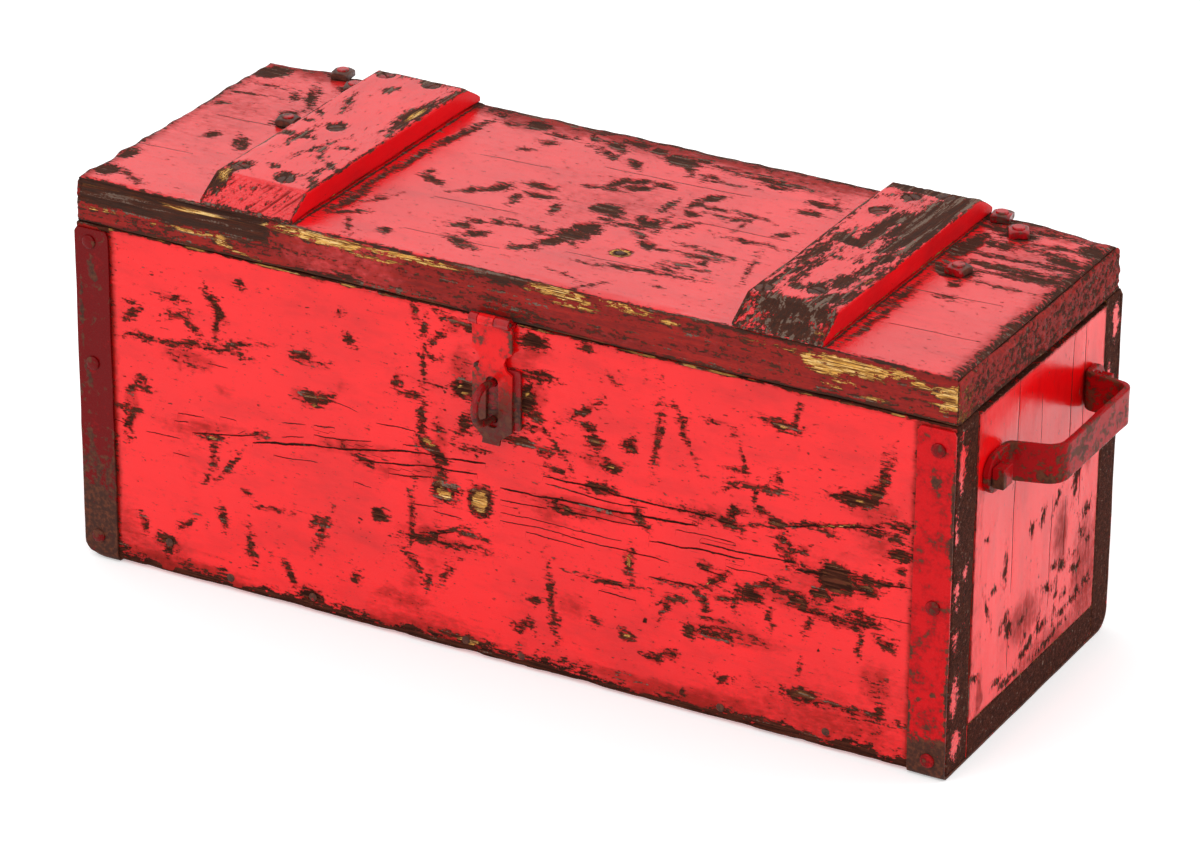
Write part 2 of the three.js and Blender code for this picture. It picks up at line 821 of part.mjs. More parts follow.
// The strap hinges: one leaf under the lid, one down the back, and the bolts and nuts of the lid
function buildHinges() {
  const grip = lidTop - (lidBottom - seatGap - hingeThickness) + seatGap;
  const headSeat = lidBottom - 2 * seatGap - hingeThickness;
  for (const side of sides) {
    const centre = hingeCentres[side];
    let lidLeaf = strapLeaf(hingeLidReach, 1);
    for (const [across, along] of hingeBoltShares) {
      const hole = boltHole(-overrun, hingeThickness + overrun);
      const x = (-across * hingeRootWidth) / 2;
      lidLeaf = lidLeaf.subtract(hole.translate([x, -along * hingeLidReach, 0]));
    }
    const upper = addMesh(lid, `hinge_lid_leaf_${side}`, lidLeaf, rustyIron());
    aim(upper, axisY, axisZ.clone().negate());
    upper.position.set(centre, hingeAxis.y, hingeAxis.z + hingeRoll);

    const lower = addMesh(
      carcass,
      `hinge_body_leaf_${side}`,
      strapLeaf(hingeBodyReach, 0),
      rustyIron(),
    );
    aim(lower, axisZ, axisY);
    lower.position.set(centre, hingeAxis.y - hingeRoll, hingeAxis.z);

    const hingePin = pin(hingePinRadius, hingeRootWidth);
    const axle = addMesh(carcass, `hinge_pin_${side}`, hingePin, rustyIron());
    axle.rotation.y = Math.PI / 2;
    axle.position.set(centre, hingeAxis.y, hingeAxis.z);

    hingeBoltPlaces(side).forEach(([x, y], i) => {
      const bolt = addMesh(lid, `hinge_bolt_${side}_${i + 1}`, roundHeadBolt(grip), rustyIron());
      bolt.position.set(x, y, headSeat);
      const nut = addMesh(lid, `hinge_nut_${side}_${i + 1}`, squareNut(), paintedIron());
      nut.position.set(x, y, lidTop);
      nut.rotation.z = hingeNutTurns[side][i];
    });
  }
}

// The hasp plate's outline about its pin: notched neck, slotted body and a narrow thumb tongue
function haspOutline() {
  const half = haspWidth / 2;
  const tongue = haspTongueWidth / 2;
  const notchX = half + haspNotchOutset;
  const spread = Math.acos(haspNotchOutset / haspNotchRadius);
  const outline = new THREE.Shape();
  outline.moveTo(half, 2 * haspRoll);
  outline.lineTo(-half, 2 * haspRoll);
  outline.absarc(-notchX, -haspNeckDrop, haspNotchRadius, spread, -spread, true);
  outline.lineTo(-half, haspCornerRise - haspDrop);
  outline.lineTo(-tongue, haspTongueRise - haspDrop);
  outline.lineTo(-tongue, -haspDrop);
  outline.lineTo(tongue, -haspDrop);
  outline.lineTo(tongue, haspTongueRise - haspDrop);
  outline.lineTo(half, haspCornerRise - haspDrop);
  outline.absarc(notchX, -haspNeckDrop, haspNotchRadius, Math.PI + spread, Math.PI - spread, true);
  return outline;
}

function haspPlate() {
  const lip = { length: haspLipLength, angle: haspLipAngle, bend: haspLipBend };
  const strip = rolledStrip(haspDrop, haspThickness, haspPinRadius, haspWidth, lip);
  let plate = strip.intersect(prism("z", haspOutline(), -overrun, 2 * haspRoll + overrun));
  const slot = roundedRectangle(
    -haspSlotWidth / 2,
    -haspSlotBottomDrop,
    haspSlotWidth / 2,
    -haspSlotTopDrop,
    haspSlotRound,
  );
  plate = plate.subtract(prism("z", slot, -overrun, overrun));
  for (const cut of knuckleRoom(haspKnuckleShares, 1, haspWidth, haspRoll, false)) {
    plate = plate.subtract(cut);
  }
  return plate;
}

function haspLeaf() {
  let leaf = rolledStrip(haspLeafReach, haspThickness, haspPinRadius, haspWidth);
  for (const cut of knuckleRoom(haspKnuckleShares, 0, haspWidth, haspRoll, true)) {
    leaf = leaf.subtract(cut);
  }
  return leaf;
}

// The staple: a round rod bent to an eye, with both legs driven into the front board
function stapleLoop() {
  const tilt = THREE.MathUtils.degToRad(stapleTilt);
  const bendY = (stapleEyeRadius + stapleRodRadius - stapleReach) / Math.cos(tilt);
  const leg = (height, from, to) =>
    new THREE.LineCurve3(new THREE.Vector3(0, from, height), new THREE.Vector3(0, to, height));
  const path = new THREE.CurvePath();
  path.add(leg(stapleEyeRadius, stapleLegDepth, bendY));
  for (let i = 0; i < stapleBendSteps; i += 1) {
    const ends = [i, i + 1].map((step) => {
      const angle = Math.PI / 2 + (Math.PI * step) / stapleBendSteps;
      const y = bendY + stapleEyeRadius * Math.cos(angle);
      return new THREE.Vector3(0, y, stapleEyeRadius * Math.sin(angle));
    });
    path.add(new THREE.LineCurve3(...ends));
  }
  path.add(leg(-stapleEyeRadius, bendY, stapleLegDepth));
  const section = new THREE.Shape().absarc(0, 0, stapleRodRadius, 0, 2 * Math.PI, false);
  return new THREE.ExtrudeGeometry(section, {
    steps: 2 * stapleBendSteps,
    extrudePath: path,
    curveSegments: stapleSides / 2,
    bevelEnabled: false,
  });
}

function staplePlate() {
  const half = staplePlateWidth / 2;
  const outline = roundedRectangle(
    staplePlateCentre - half,
    haspAxis.z - staplePlateBottomDrop,
    staplePlateCentre + half,
    haspAxis.z - staplePlateTopDrop,
    staplePlateCorner,
  );
  return bored(prism("y", outline, -seatGap - staplePlateThickness, -seatGap), overrun);
}

function buildHasp() {
  addMesh(carcass, "staple_plate", staplePlate(), paintedIron());
  const loop = addMesh(carcass, "staple_loop", stapleLoop(), paintedIron());
  loop.position.set(haspCentre, 0, stapleMiddle);
  loop.rotation.x = -THREE.MathUtils.degToRad(stapleTilt);

  const leaf = addMesh(lid, "hasp_leaf", haspLeaf(), paintedIron());
  aim(leaf, axisY.clone().negate(), axisZ);
  leaf.position.set(haspCentre, haspAxis.y, haspAxis.z - haspRoll);

  const haspPin = addMesh(lid, "hasp_pin", pin(haspPinRadius, haspWidth), rustyIron());
  haspPin.rotation.y = Math.PI / 2;
  haspPin.position.set(haspCentre, haspAxis.y, haspAxis.z);

  const plate = addMesh(hasp, "hasp_plate", haspPlate(), paintedIron());
  aim(plate, axisZ, axisY.clone().negate());
  plate.position.set(haspCentre, haspAxis.y + haspRoll, haspAxis.z);
}

buildBody();
buildHandles();
buildLid();
buildHinges();
buildHasp();

const chest = new THREE.Group();
chest.add(carcass, lid, hasp);
chest.position.set(0, -depthMiddle, strapFace);

export default chest;
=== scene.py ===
# Worn red tool chest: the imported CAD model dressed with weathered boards, iron and small fasteners.
import math
import bpy
import numpy as np
from mathutils import Matrix, Vector


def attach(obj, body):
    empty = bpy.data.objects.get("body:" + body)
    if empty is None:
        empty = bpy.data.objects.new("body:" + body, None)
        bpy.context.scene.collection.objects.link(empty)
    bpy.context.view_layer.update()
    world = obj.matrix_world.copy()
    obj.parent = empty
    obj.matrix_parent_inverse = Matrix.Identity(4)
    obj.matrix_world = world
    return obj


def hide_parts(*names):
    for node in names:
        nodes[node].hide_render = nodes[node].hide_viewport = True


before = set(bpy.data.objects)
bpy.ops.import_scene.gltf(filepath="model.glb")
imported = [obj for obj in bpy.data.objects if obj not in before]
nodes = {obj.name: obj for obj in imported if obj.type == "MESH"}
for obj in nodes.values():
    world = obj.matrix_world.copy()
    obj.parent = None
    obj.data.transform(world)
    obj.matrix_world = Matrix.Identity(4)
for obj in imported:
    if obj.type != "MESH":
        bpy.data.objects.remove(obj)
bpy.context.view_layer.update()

# Millimetres: x along the chest, y back from the front face, z up from the body's underside
chest = {
    "half": 355, "depth": 270, "rim": 268, "lidBottom": 268.3, "lidTop": 304,
    "front": 34, "back": 27, "bottom": 26, "end": 26, "endDrop": 3.5,
    "leftFoot": 15.0, "rightFoot": 3.0,  # how far the front's lower corners are worn round
    "middle": 125.65, "floor": 2.3,  # the frame's origin lies this far back and this far down
}
half, depthAll, rimTop = chest["half"], chest["depth"], chest["rim"]
metre = 0.001


# Chest millimetres to the frame's metres: shifted to the frame's origin, then scaled
def toFrame(points):
    return (np.asarray(points, float) + (0, -chest["middle"], chest["floor"])) * metre


# Numbers that scatter the corners of the noise lattice, and how far apart seeds lie
scatter = {
    "axes": (73856093, 19349663, 83492791), "seed": 2654435, "stirs": ((15, 2246822519), (13, 3266489917)),
    "whole": 0xFFFFFFFF, "seedStep": (7.31, 3.17, 5.73),
}


# Smooth noise, -1 to 1, on a lattice whose cells have the given sizes: the hashed values of the eight
# corners round a point, each times the product of its eased nearness along the three axes
def softNoise(points, cell, seed):
    at = np.asarray(points, float) / cell + tuple(seed * reach for reach in scatter["seedStep"])
    base = np.floor(at)
    part = at - base
    part = part * part * (3 - 2 * part)
    base = base.astype(np.int64)
    total = 0
    for corner in np.ndindex(2, 2, 2):
        spread = (base + corner) * scatter["axes"]
        hashed = (spread[:, 0] ^ spread[:, 1] ^ spread[:, 2] ^ seed * scatter["seed"]) & scatter["whole"]
        for bits, factor in scatter["stirs"]:
            hashed = ((hashed ^ (hashed >> bits)) * factor) & scatter["whole"]
        value = ((hashed >> 8) & 0xFFFF) / 32767.5 - 1
        near = np.abs(1 - np.array(corner) - part)
        total = total + value * (near[:, 0] * near[:, 1]) * near[:, 2]
    return total


# Noise summed over octaves: each has half the cell and half the weight of the one before
def roughNoise(points, cell, seed, octaves=3):
    total, weight = 0, 1
    for octave in range(octaves):
        total = total + weight * softNoise(points, np.asarray(cell, float) / 2**octave, seed + octave)
        weight /= 2
    return total


# 0 up to low, 1 from high on; between them three times the square of the share less twice its cube
def step(value, low, high):
    t = np.clip((value - low) / (high - low), 0, 1)
    return t * t * (3 - 2 * t)


# The same the other way round: 1 up to `full`, 0 from `none` on
def below(value, full, none):
    return step(-value, -none, -full)


# The field in the middle of a mark: a fifth of half its width, which counts as 1.4 or more
def markPeak(short):
    return max(short, 1.4) / 5


# Each mark is (u, v, half its length, half its width, angle in degrees). The field says how far a
# point lies inside the nearest mark: the mark's peak times one less the radius in its ellipse
def markField(u, v, marks, least=-1.0):
    field = np.full(u.shape, least)
    for cu, cv, long, short, angle in marks:
        turn = math.radians(angle)
        du, dv = u - cu, v - cv
        along = (du * math.cos(turn) + dv * math.sin(turn)) / long
        across = (dv * math.cos(turn) - du * math.sin(turn)) / short
        field = np.maximum(field, markPeak(short) * (1 - np.hypot(along, across)))
    return field


# Like markField, but 1 in the middle of each mark and 0 on its rim and outside
def stainField(u, v, marks):
    field = np.zeros(u.shape)
    for mark in marks:
        field = np.maximum(field, markField(u, v, [mark], 0) / markPeak(mark[3]))
    return field


# Marks are torn, not drawn: each coordinate gets its own noise, less of it across
def ragged(at, u, v, seed, reach=2.4):
    push = [roughNoise(at, (10, 10, 10), seed + other) for other in (0, 40)]
    return u + reach * push[0], v + 0.7 * reach * push[1]


# Old cracks along u, each (half width, u0, v0, u1, v1, ...). Neighbours go into different sets, so
# that the signed distance to the nearest crack of a set holds all round it. Per set: the distance,
# and the half width times the root of the nearness to the crack's ends, on the side that has them.
cracking = {"sets": 3, "apart": 6, "taper": 9, "reach": 4, "wave": 0.7}


def crackFields(at, u, v, cracks, side):
    def level(crack, where):
        return np.interp(where, crack[1::2], crack[2::2])

    def clear(crack, other):
        low, high = max(crack[1], other[1]), min(crack[-2], other[-2])
        where = np.linspace(low, high, 5)
        away = np.abs(level(crack, where) - level(other, where)).min()
        return high < low - cracking["apart"] or away > cracking["apart"]

    placed = [[] for _ in range(cracking["sets"])]
    for crack in cracks:
        free = [group for group in placed if all(clear(crack, other) for other in group)]
        (free or placed)[0].append(crack)
    wave = cracking["wave"] * roughNoise(at, (16, 40, 16), 200)
    fields = {}
    for i, group in enumerate(placed):
        line, width = np.full(u.shape, 9.0), np.zeros(u.shape)
        for crack in group:
            away = v - level(crack, u) - wave
            first, last = (u - crack[1]) / cracking["taper"], (crack[-2] - u) / cracking["taper"]
            ends = np.clip(first, 0, 1) * np.clip(last, 0, 1)
            near = (np.abs(away) < np.abs(line)) & (u > crack[1]) & (u < crack[-2])
            line = np.where(near, away, line)
            width = np.where(near, crack[0] * np.sqrt(ends), width)
        fields[f"line{i}"], fields[f"width{i}"] = line, width * side * (np.abs(line) < cracking["reach"])
    return fields


# How deep the cracks press in: the width of each set times its nearness, which is 0 from 1.8 away
def splitDepth(fields, reach=1.8):
    sets = range(cracking["sets"])
    return sum(np.clip(1 - np.abs(fields[f"line{i}"]) / reach, 0, 1) * fields[f"width{i}"] for i in sets)


# A mesh from points in chest millimetres and groups of faces, each group with one number of corners.
# All but large flat faces are shaded smooth. It gets its fields and finish and rides a body.
def makePiece(name, points, faces, body, slotName, material, replaced=(), fields=None):
    mesh = bpy.data.meshes.new(name)
    points = toFrame(points)
    loops = [np.asarray(group, np.int32) for group in faces]
    sizes = np.concatenate([np.full(len(group), group.shape[1], np.int32) for group in loops])
    mesh.vertices.add(len(points))
    mesh.vertices.foreach_set("co", points.astype(np.float32).ravel())
    mesh.loops.add(int(sizes.sum()))
    mesh.loops.foreach_set("vertex_index", np.concatenate([group.ravel() for group in loops]))
    mesh.polygons.add(len(sizes))
    mesh.polygons.foreach_set("loop_start", (np.cumsum(sizes) - sizes).astype(np.int32))
    mesh.polygons.foreach_set("use_smooth", sizes < 9)
    mesh.update(calc_edges=True)
    mesh.validate()
    for key, values in (fields or {}).items():
        mesh.attributes.new(key, "FLOAT", "POINT").data.foreach_set("value", values.astype(np.float32))
    piece = bpy.data.objects.new(name, mesh)
    bpy.context.scene.collection.objects.link(piece)
    mesh.materials.append(material)
    if replaced:
        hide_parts(*replaced)
    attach(piece, body)
    return piece


# Shader maths written as expressions: each operator adds one Math node
class Flow:
    def __init__(self, finish, socket):
        self.finish, self.socket = finish, socket

    def calc(self, operation, *others):
        values = (self,) + others
        return self.finish.add("ShaderNodeMath", {"operation": operation}, dict(enumerate(values)))

    def __add__(self, other):
        return self.calc("ADD", other)

    def __mul__(self, other):
        return self.calc("MULTIPLY", other)

    def __sub__(self, other):
        return self.calc("SUBTRACT", other)

    def __rsub__(self, other):
        return self.finish.value(other).calc("SUBTRACT", self)

    __radd__, __rmul__ = __add__, __mul__

    def most(self, other):
        return self.calc("MAXIMUM", other)

    def size(self):
        return self.calc("ABSOLUTE")

    # 0 below low, 1 above high, eased between
    def between(self, low, high):
        ends = {"Value": self, "From Min": low, "From Max": high}
        return self.finish.add("ShaderNodeMapRange", {"interpolation_type": "SMOOTHSTEP"}, ends)

    # A colour: first where this is 0, second where it is 1
    def blend(self, first, second):
        settings = {"data_type": "RGBA"}
        return self.finish.add("ShaderNodeMix", settings, {"Factor": self, 6: first, 7: second}, 2)

    # A coordinate stretched: features get these sizes in millimetres
    def cells(self, x, y, z):
        scale = [1 / (metre * size) for size in (x, y, z)]
        return self.finish.add("ShaderNodeVectorMath", {"operation": "MULTIPLY"}, {0: self, 1: scale})


# A material under construction. One method, add, makes any node: its settings first, then the values
# or links of its inputs
class Finish:
    def __init__(self, name):
        self.material = bpy.data.materials.new(name)
        self.material.use_nodes = True
        self.tree = self.material.node_tree
        self.tree.nodes.clear()

    def add(self, kind, settings, inputs, output=0):
        node = self.tree.nodes.new(kind)
        for key, value in settings.items():
            setattr(node, key, value)
        for key, value in inputs.items():
            socket = node.inputs[key]
            if isinstance(value, Flow):
                self.tree.links.new(value.socket, socket)
            elif socket.type == "RGBA":
                socket.default_value = tuple(value) + (1,) * (4 - len(value))
            else:
                socket.default_value = value
        return Flow(self, node.outputs[output]) if len(node.outputs) else None

    def value(self, number):
        flow = self.add("ShaderNodeValue", {}, {})
        flow.socket.default_value = number
        return flow

    def place(self):
        return self.add("ShaderNodeTexCoord", {}, {}, "Object")

    def field(self, name):
        return self.add("ShaderNodeAttribute", {"attribute_name": name}, {}, "Fac")

    def noise(self, at, detail, rough):
        values = {"Vector": at, "Scale": 1.0, "Detail": detail, "Roughness": rough}
        return self.add("ShaderNodeTexNoise", {}, values)

    def bump(self, height, depth):
        return self.add("ShaderNodeBump", {}, {"Height": height, "Distance": depth, "Strength": 1.0})

    def surface(self, colour, roughness, normal, more):
        values = {"Base Color": colour, "Roughness": roughness, "Normal": normal, **more}
        return self.add("ShaderNodeBsdfPrincipled", {}, values)

    def mixed(self, share, first, second):
        return self.add("ShaderNodeMixShader", {}, {0: share, 1: first, 2: second})

    def done(self, surface):
        self.add("ShaderNodeOutputMaterial", {}, {"Surface": surface})
        return self.material


paint = {
    "red": (0.88, 0.0020, 0.004), "deep": (0.50, 0.0015, 0.003), "grimyAndShaded": (0.075, 0.009, 0.006),
    "rusty": (0.27, 0.016, 0.010), "lidRed": (0.78, 0.004, 0.008), "lidDeep": (0.42, 0.006, 0.010),
    "brown": (0.024, 0.0075, 0.005), "umber": (0.115, 0.030, 0.017), "grey": (0.050, 0.026, 0.020),
    "golden": (0.84, 0.42, 0.085), "pale": (0.96, 0.66, 0.28), "ash": (0.19, 0.13, 0.10),
}
# Noises of painted wood: size along the grain and across it in millimetres, detail, roughness
woodNoise = {
    "fine": (26, 0.9, 4, 0.6), "streaks": (70, 3.6, 4, 0.62), "lumps": (8, 8, 6, 0.75),
    "broad": (90, 90, 3, 0.55), "grit": (1.5, 1.5, 2, 0.5), "chips": (7, 2.2, 3, 0.62),
    "flecks": (8, 3, 2, 0.5), "clouds": (60, 22, 5, 0.62), "hatch": (34, 1.1, 2, 0.5),
}


# Gloss paint over wood, whose grain runs along one axis. Fields on the mesh say where the paint is gone
# (bare, above 0), stained and darkened with painted shade (grime), where the wood is clean (golden),
# scratched (crack), split (line and width), chopped (chop), glossy (sleek) and satin (calm). Wood shows
# where bare plus noise is above 0.
def paintedWood(name, grain, dark="brown", gloss=0.17, shine=1.46, pits=1.0, reds=("red", "deep"),
                ashFrom=0.74):
    finish = Finish(name)
    place = finish.place()

    def grained(long, wide, detail, rough):
        sizes = [wide] * 3
        sizes["xyz".index(grain)] = long
        return finish.noise(place.cells(*sizes), detail, rough)

    noises = {key: grained(*sizes) for key, sizes in woodNoise.items()}
    fine, streaks, lumps, broad, grit, chips, flecks, clouds, hatch = noises.values()
    bare, grime, golden, crack = (finish.field(key) for key in ("bare", "grime", "golden", "crack"))
    exposed = bare + (lumps - 0.5) * 1.2 + (streaks - 0.5) * 0.6 + (chips - 0.5) * 1.9
    exposed = exposed + (fine - 0.5) * (0.6 + golden * 1.6) + (grit - 0.5) * 0.5
    specks = (flecks + bare * 0.12 + lumps * 0.3).between(0.81, 0.84) * 0.9
    worn = exposed.between(-0.06, 0.05).most(specks)

    # The splits of the boards, drawn round the lines that the fields hold
    split = finish.value(0)
    for i in range(cracking["sets"]):
        line, width = finish.field(f"line{i}"), finish.field(f"width{i}")
        edge = (line + (lumps - 0.5) * 1.6 + (grit - 0.5) * 0.8).size() - width * (streaks * 2.0 - 0.2)
        split = split.most((1 - edge.between(-0.1, 0.3)) * width.between(0.03, 0.15))
    scratch = (hatch + (crack - 1) * 0.2 + (broad - 0.5) * 0.2).between(0.66, 0.72) * 0.7
    worn = worn.most(split)

    # Stained and scratched paint is dull and takes the rubbed colours, and so does paint darkened as
    # painted shade; clean paint is glossy
    stainAndShade = (grime + (lumps - 0.5) * 1.0 + (chips - 0.5) * 0.9 + (streaks - 0.5) * 0.6).between(0.1, 1.0)
    dull = (stainAndShade * grime.between(0.0, 0.15)).most(scratch).most(exposed.between(-0.3, 0.0) * 0.7)
    fade = broad.between(0.35, 0.75) * 0.3 + clouds.between(0.45, 0.75) * 0.4
    red = fade.blend(paint[reds[0]], paint[reds[1]])
    rubbedAndShaded = (streaks * 0.6 + chips * 0.5).between(0.4, 0.7).blend(paint["grimyAndShaded"], paint["rusty"])

    # Bare wood: dark, with light and ashen streaks, and golden where it is clean
    wood = (fine * 0.7 + streaks * 0.5 + lumps * 0.3 - split * 0.5).between(0.6, 1.0)
    wood = wood.blend(paint[dark], paint["umber"])
    wood = (streaks + grit * 0.25).between(ashFrom, ashFrom + 0.1).blend(wood, paint["ash"])
    gold = (fine * 0.9 + streaks * 0.3).between(0.55, 0.70).blend(paint["golden"], paint["umber"])
    gold = (fine + grit * 0.2).between(0.46, 0.60).blend(paint["pale"], gold)
    clean = (golden + (streaks - 0.5) * 1.1 + (fine - 0.5) * 1.6).between(0.3, 0.48)
    matte = worn.blend(rubbedAndShaded, clean.blend(wood, gold))

    chop, sleek = finish.field("chop"), finish.field("sleek")
    chopped = finish.noise(place.cells(7, 4, 4), 4, 0.6)
    height = fine * 0.15 + lumps * 0.35 + streaks * 0.2 - worn * 0.6 - split * 0.6 - scratch * 0.15
    height = height + worn * (fine - 0.5) * pits + chop * chopped * 4.5
    normal = finish.bump(height, 0.0006)
    rough = gloss + (clouds - 0.5) * 0.2 + (grit - 0.5) * 0.08 - sleek * 0.14
    glossy = finish.surface(red, rough, normal, {"IOR": shine})
    satin = finish.surface(red, rough + 0.2, normal, {"IOR": 1.4, "Specular IOR Level": 0.1})
    opened = finish.surface(matte, 0.55 + grit * 0.25, normal, {"IOR": 1.4, "Specular IOR Level": 0.03})
    coated = finish.mixed(finish.field("calm"), glossy, satin)
    return finish.done(finish.mixed(worn.most(dull * 0.85), coated, opened))


# Noises of old iron: size in millimetres, detail, roughness
ironNoise = {"lumps": (15, 5, 0.65), "spots": (4, 4, 0.6), "pits": (1.4, 3, 0.6)}
rustColour = (0.125, 0.036, 0.018)


# Old iron: paint, worn off to dark metal with rust. "worn" is the share that is bare; the fields bare
# and grime of a piece add to it and darken its paint. Below the second height of "fall", in
# millimetres over the floor, the paint turns to the colour of its third entry.
def wornIron(name, worn, painted, gloss=0.22, iron=(0.050, 0.018, 0.012), fall=None, spec=0.22):
    finish = Finish(name)
    place = finish.place()
    lumps, spots, pits = (
        finish.noise(place.cells(size, size, size), detail, rough)
        for size, detail, rough in ironNoise.values())
    bare = (lumps + (spots - 0.5) * 0.8 + finish.field("bare") + (worn - 1)).between(-0.05, 0.08)
    rust = spots.between(0.42, 0.66).blend(iron, rustColour)
    shade = (lumps + (spots - 0.5) * 0.5 + finish.field("grime") * 0.6).between(0.4, 0.8)
    red = shade.blend(painted, tuple(0.25 * c for c in painted))
    if fall:
        height = finish.add("ShaderNodeSeparateXYZ", {}, {"Vector": place}, "Z")
        low = (height + (lumps - 0.5) * 0.02).between(fall[0] * metre, fall[1] * metre)
        red = low.blend(fall[2], red)
        bare = bare.most((1 - low) * spots.between(0.4, 0.55) * 0.8)
    normal = finish.bump(lumps * 0.5 + spots * 0.35 + pits * 0.14 - bare * 0.35, 0.0005)
    rough = gloss + bare * 0.3 + pits * 0.1
    shell = finish.surface(bare.blend(red, rust), rough, normal, {"IOR": 1.5, "Specular IOR Level": spec})
    return finish.done(shell)


lidReds = ("lidRed", "lidDeep")
finishes = {
    "front": paintedWood("FrontPaint", "x"),
    "lid": paintedWood("LidPaint", "x", dark="grey", gloss=0.22, shine=1.66, pits=2.4, reds=lidReds,
                       ashFrom=0.70),
    "batten": paintedWood("BattenPaint", "y", dark="grey", gloss=0.18, shine=1.6, pits=1.8, reds=lidReds,
                          ashFrom=0.66),
    "end": paintedWood("EndPaint", "z", gloss=0.16, shine=1.40),
    "bottom": paintedWood("BottomWood", "x"),
    "strap": wornIron("StrapIron", 0.36, (0.58, 0.004, 0.007), spec=0.12),
    "handle": wornIron("HandleIron", 0.47, (0.34, 0.004, 0.006), 0.12, (0.052, 0.020, 0.013), spec=0.05),
    "hasp": wornIron("HaspIron", 0.36, (0.40, 0.003, 0.005), 0.06, (0.040, 0.010, 0.008), spec=0.4),
    "staple": wornIron("StapleIron", 0.50, (0.24, 0.004, 0.006), 0.10, (0.035, 0.010, 0.008)),
    "haspPlate": wornIron("HaspPlateIron", 0.40, (0.78, 0.008, 0.009), 0.14,
                          fall=(196, 240, (0.12, 0.012, 0.008)), spec=0.2),
    "nail": wornIron("NailIron", 0.62, (0.30, 0.004, 0.008)),
    "nut": wornIron("NutPaint", 0.42, (0.44, 0.004, 0.008), 0.14, spec=0.4),
    "hidden": wornIron("HiddenIron", 0.85, (0.3, 0.004, 0.008)),
}


# Grid lines between two faces: close together where the edge is rounded, then about `gap` apart
def gridLines(low, high, gap, edge, extra=()):
    near = edge * np.array([0, 0.16, 0.36, 0.6, 0.9, 1.25])
    inner = np.linspace(low + near[-1], high - near[-1], max(2, round((high - low) / gap)))
    lines = np.sort(np.concatenate([low + near, inner, high - near, np.asarray(extra, float)]))
    return lines[np.concatenate([[True], np.diff(lines) > 0.04])]


# The surface of a box on those lines, as one closed sheet: points and outward quads. A side that is
# named plain, (axis, end), is a single face inside its rounded edges.
def boxSheet(xs, ys, zs, plain=None):
    shape = (len(xs), len(ys), len(zs))
    skin = np.ones(shape, bool)
    skin[1:-1, 1:-1, 1:-1] = False
    band = 5
    if plain:
        inner = [slice(band + 1, -band - 1)] * 3
        inner[plain[0]] = plain[1]
        skin[tuple(inner)] = False
    ids = np.full(shape, -1)
    ids[skin] = np.arange(skin.sum())
    i, j, k = np.nonzero(skin)
    points = np.stack([xs[i], ys[j], zs[k]], 1)
    faces, single = [], []
    for axis in range(3):
        for end in (0, -1):
            side = np.take(ids, end, axis=axis)
            outward = (end == -1) != (axis == 1)
            quad = np.stack([side[:-1, :-1], side[1:, :-1], side[1:, 1:], side[:-1, 1:]], -1).reshape(-1, 4)
            if plain == (axis, end):
                quad = quad[(quad >= 0).all(1)]
                core = side[band:-band, band:-band]
                ring = np.concatenate([core[:-1, 0], core[-1, :-1], core[:0:-1, -1], core[0, :0:-1]])[None]
                single.append(ring if outward else ring[:, ::-1])
            faces.append(quad if outward else quad[:, ::-1])
    return points, [np.concatenate(faces)] + single


# A point near an edge moves onto a round of the given radius; also gives the way it faces
def roundOff(points, low, high, radius):
    radius = np.broadcast_to(np.asarray(radius, float), (len(points),))[:, None]
    core = np.clip(points, np.asarray(low) + radius, np.asarray(high) - radius)
    out = points - core
    out = out / np.maximum(np.linalg.norm(out, axis=1, keepdims=True), 1e-9)
    return core + out * radius, out


# The points of a sharp box, before it is rounded and worn: their places, the way each will face, and
# how far each lies from its nearest edge, which is the second smallest of its gaps to the faces
class BoardPoints:
    def __init__(self, sharp, out, low, high):
        self.at, self.out = sharp, out
        self.x, self.y, self.z = sharp[:, 0], sharp[:, 1], sharp[:, 2]
        gaps = np.minimum(sharp - np.asarray(low), np.asarray(high) - sharp)
        self.edge = np.sort(gaps, axis=1)[:, 1]

    def noise(self, cell, seed):
        return roughNoise(self.at, cell, seed)

    # 1 on the side that faces this way, 0 on the others, eased over the rounds
    def facing(self, x=0, y=0, z=0):
        return step(self.out @ np.array([x, y, z], float), 0.35, 0.85)

    # 1 up to `full` from an edge, 0 beyond the reach
    def nearEdge(self, reach, full):
        return below(self.edge, full, reach)

    # Slow hollows: a least depth and more by noise
    def hollows(self, least, more, cell, seed):
        return least + more * self.noise(cell, seed)

    # Knocked edges: deep at the edge, 0 beyond the reach, where noise plus `often` is above 0
    def knocks(self, deep, reach, cell, seed, often):
        return deep * self.nearEdge(reach, 0) * np.clip(self.noise(cell, seed) + often, 0, 1)


# A sawn board, worn along its outward directions. `shape` gets its points and returns how deep each is
# worn, the fields of its finish and how far each is moved besides. Slow noise varies its rounds.
def wornBoard(name, low, high, board, finish, shape, replaced, body="carcass",
              slotName="painted_wood", plain=None):
    extra = board.get("extra", ((), (), ()))
    lines = [gridLines(low[i], high[i], board["grid"][i], board["edge"], extra[i]) for i in range(3)]
    sharp, faces = boxSheet(*lines, plain)
    wear = roughNoise(sharp, (55, 55, 55), 3)
    points, out = roundOff(sharp, low, high, board["edge"] * np.clip(0.75 + 0.45 * wear, 0.35, 1.2))
    depth, fields, shift = shape(BoardPoints(sharp, out, low, high))
    points = points - out * np.maximum(depth, 0)[:, None] + shift
    makePiece(name, points, faces, body, slotName, finishes[finish], replaced, fields)


# A field that only counts on one side: the least value plus the side's weight times the rest
def onSide(weight, field, least=-1.0):
    return least + (field - least) * weight


# Fields in layers: the largest of them at each point
def allMost(*layers):
    return np.maximum.reduce(layers)


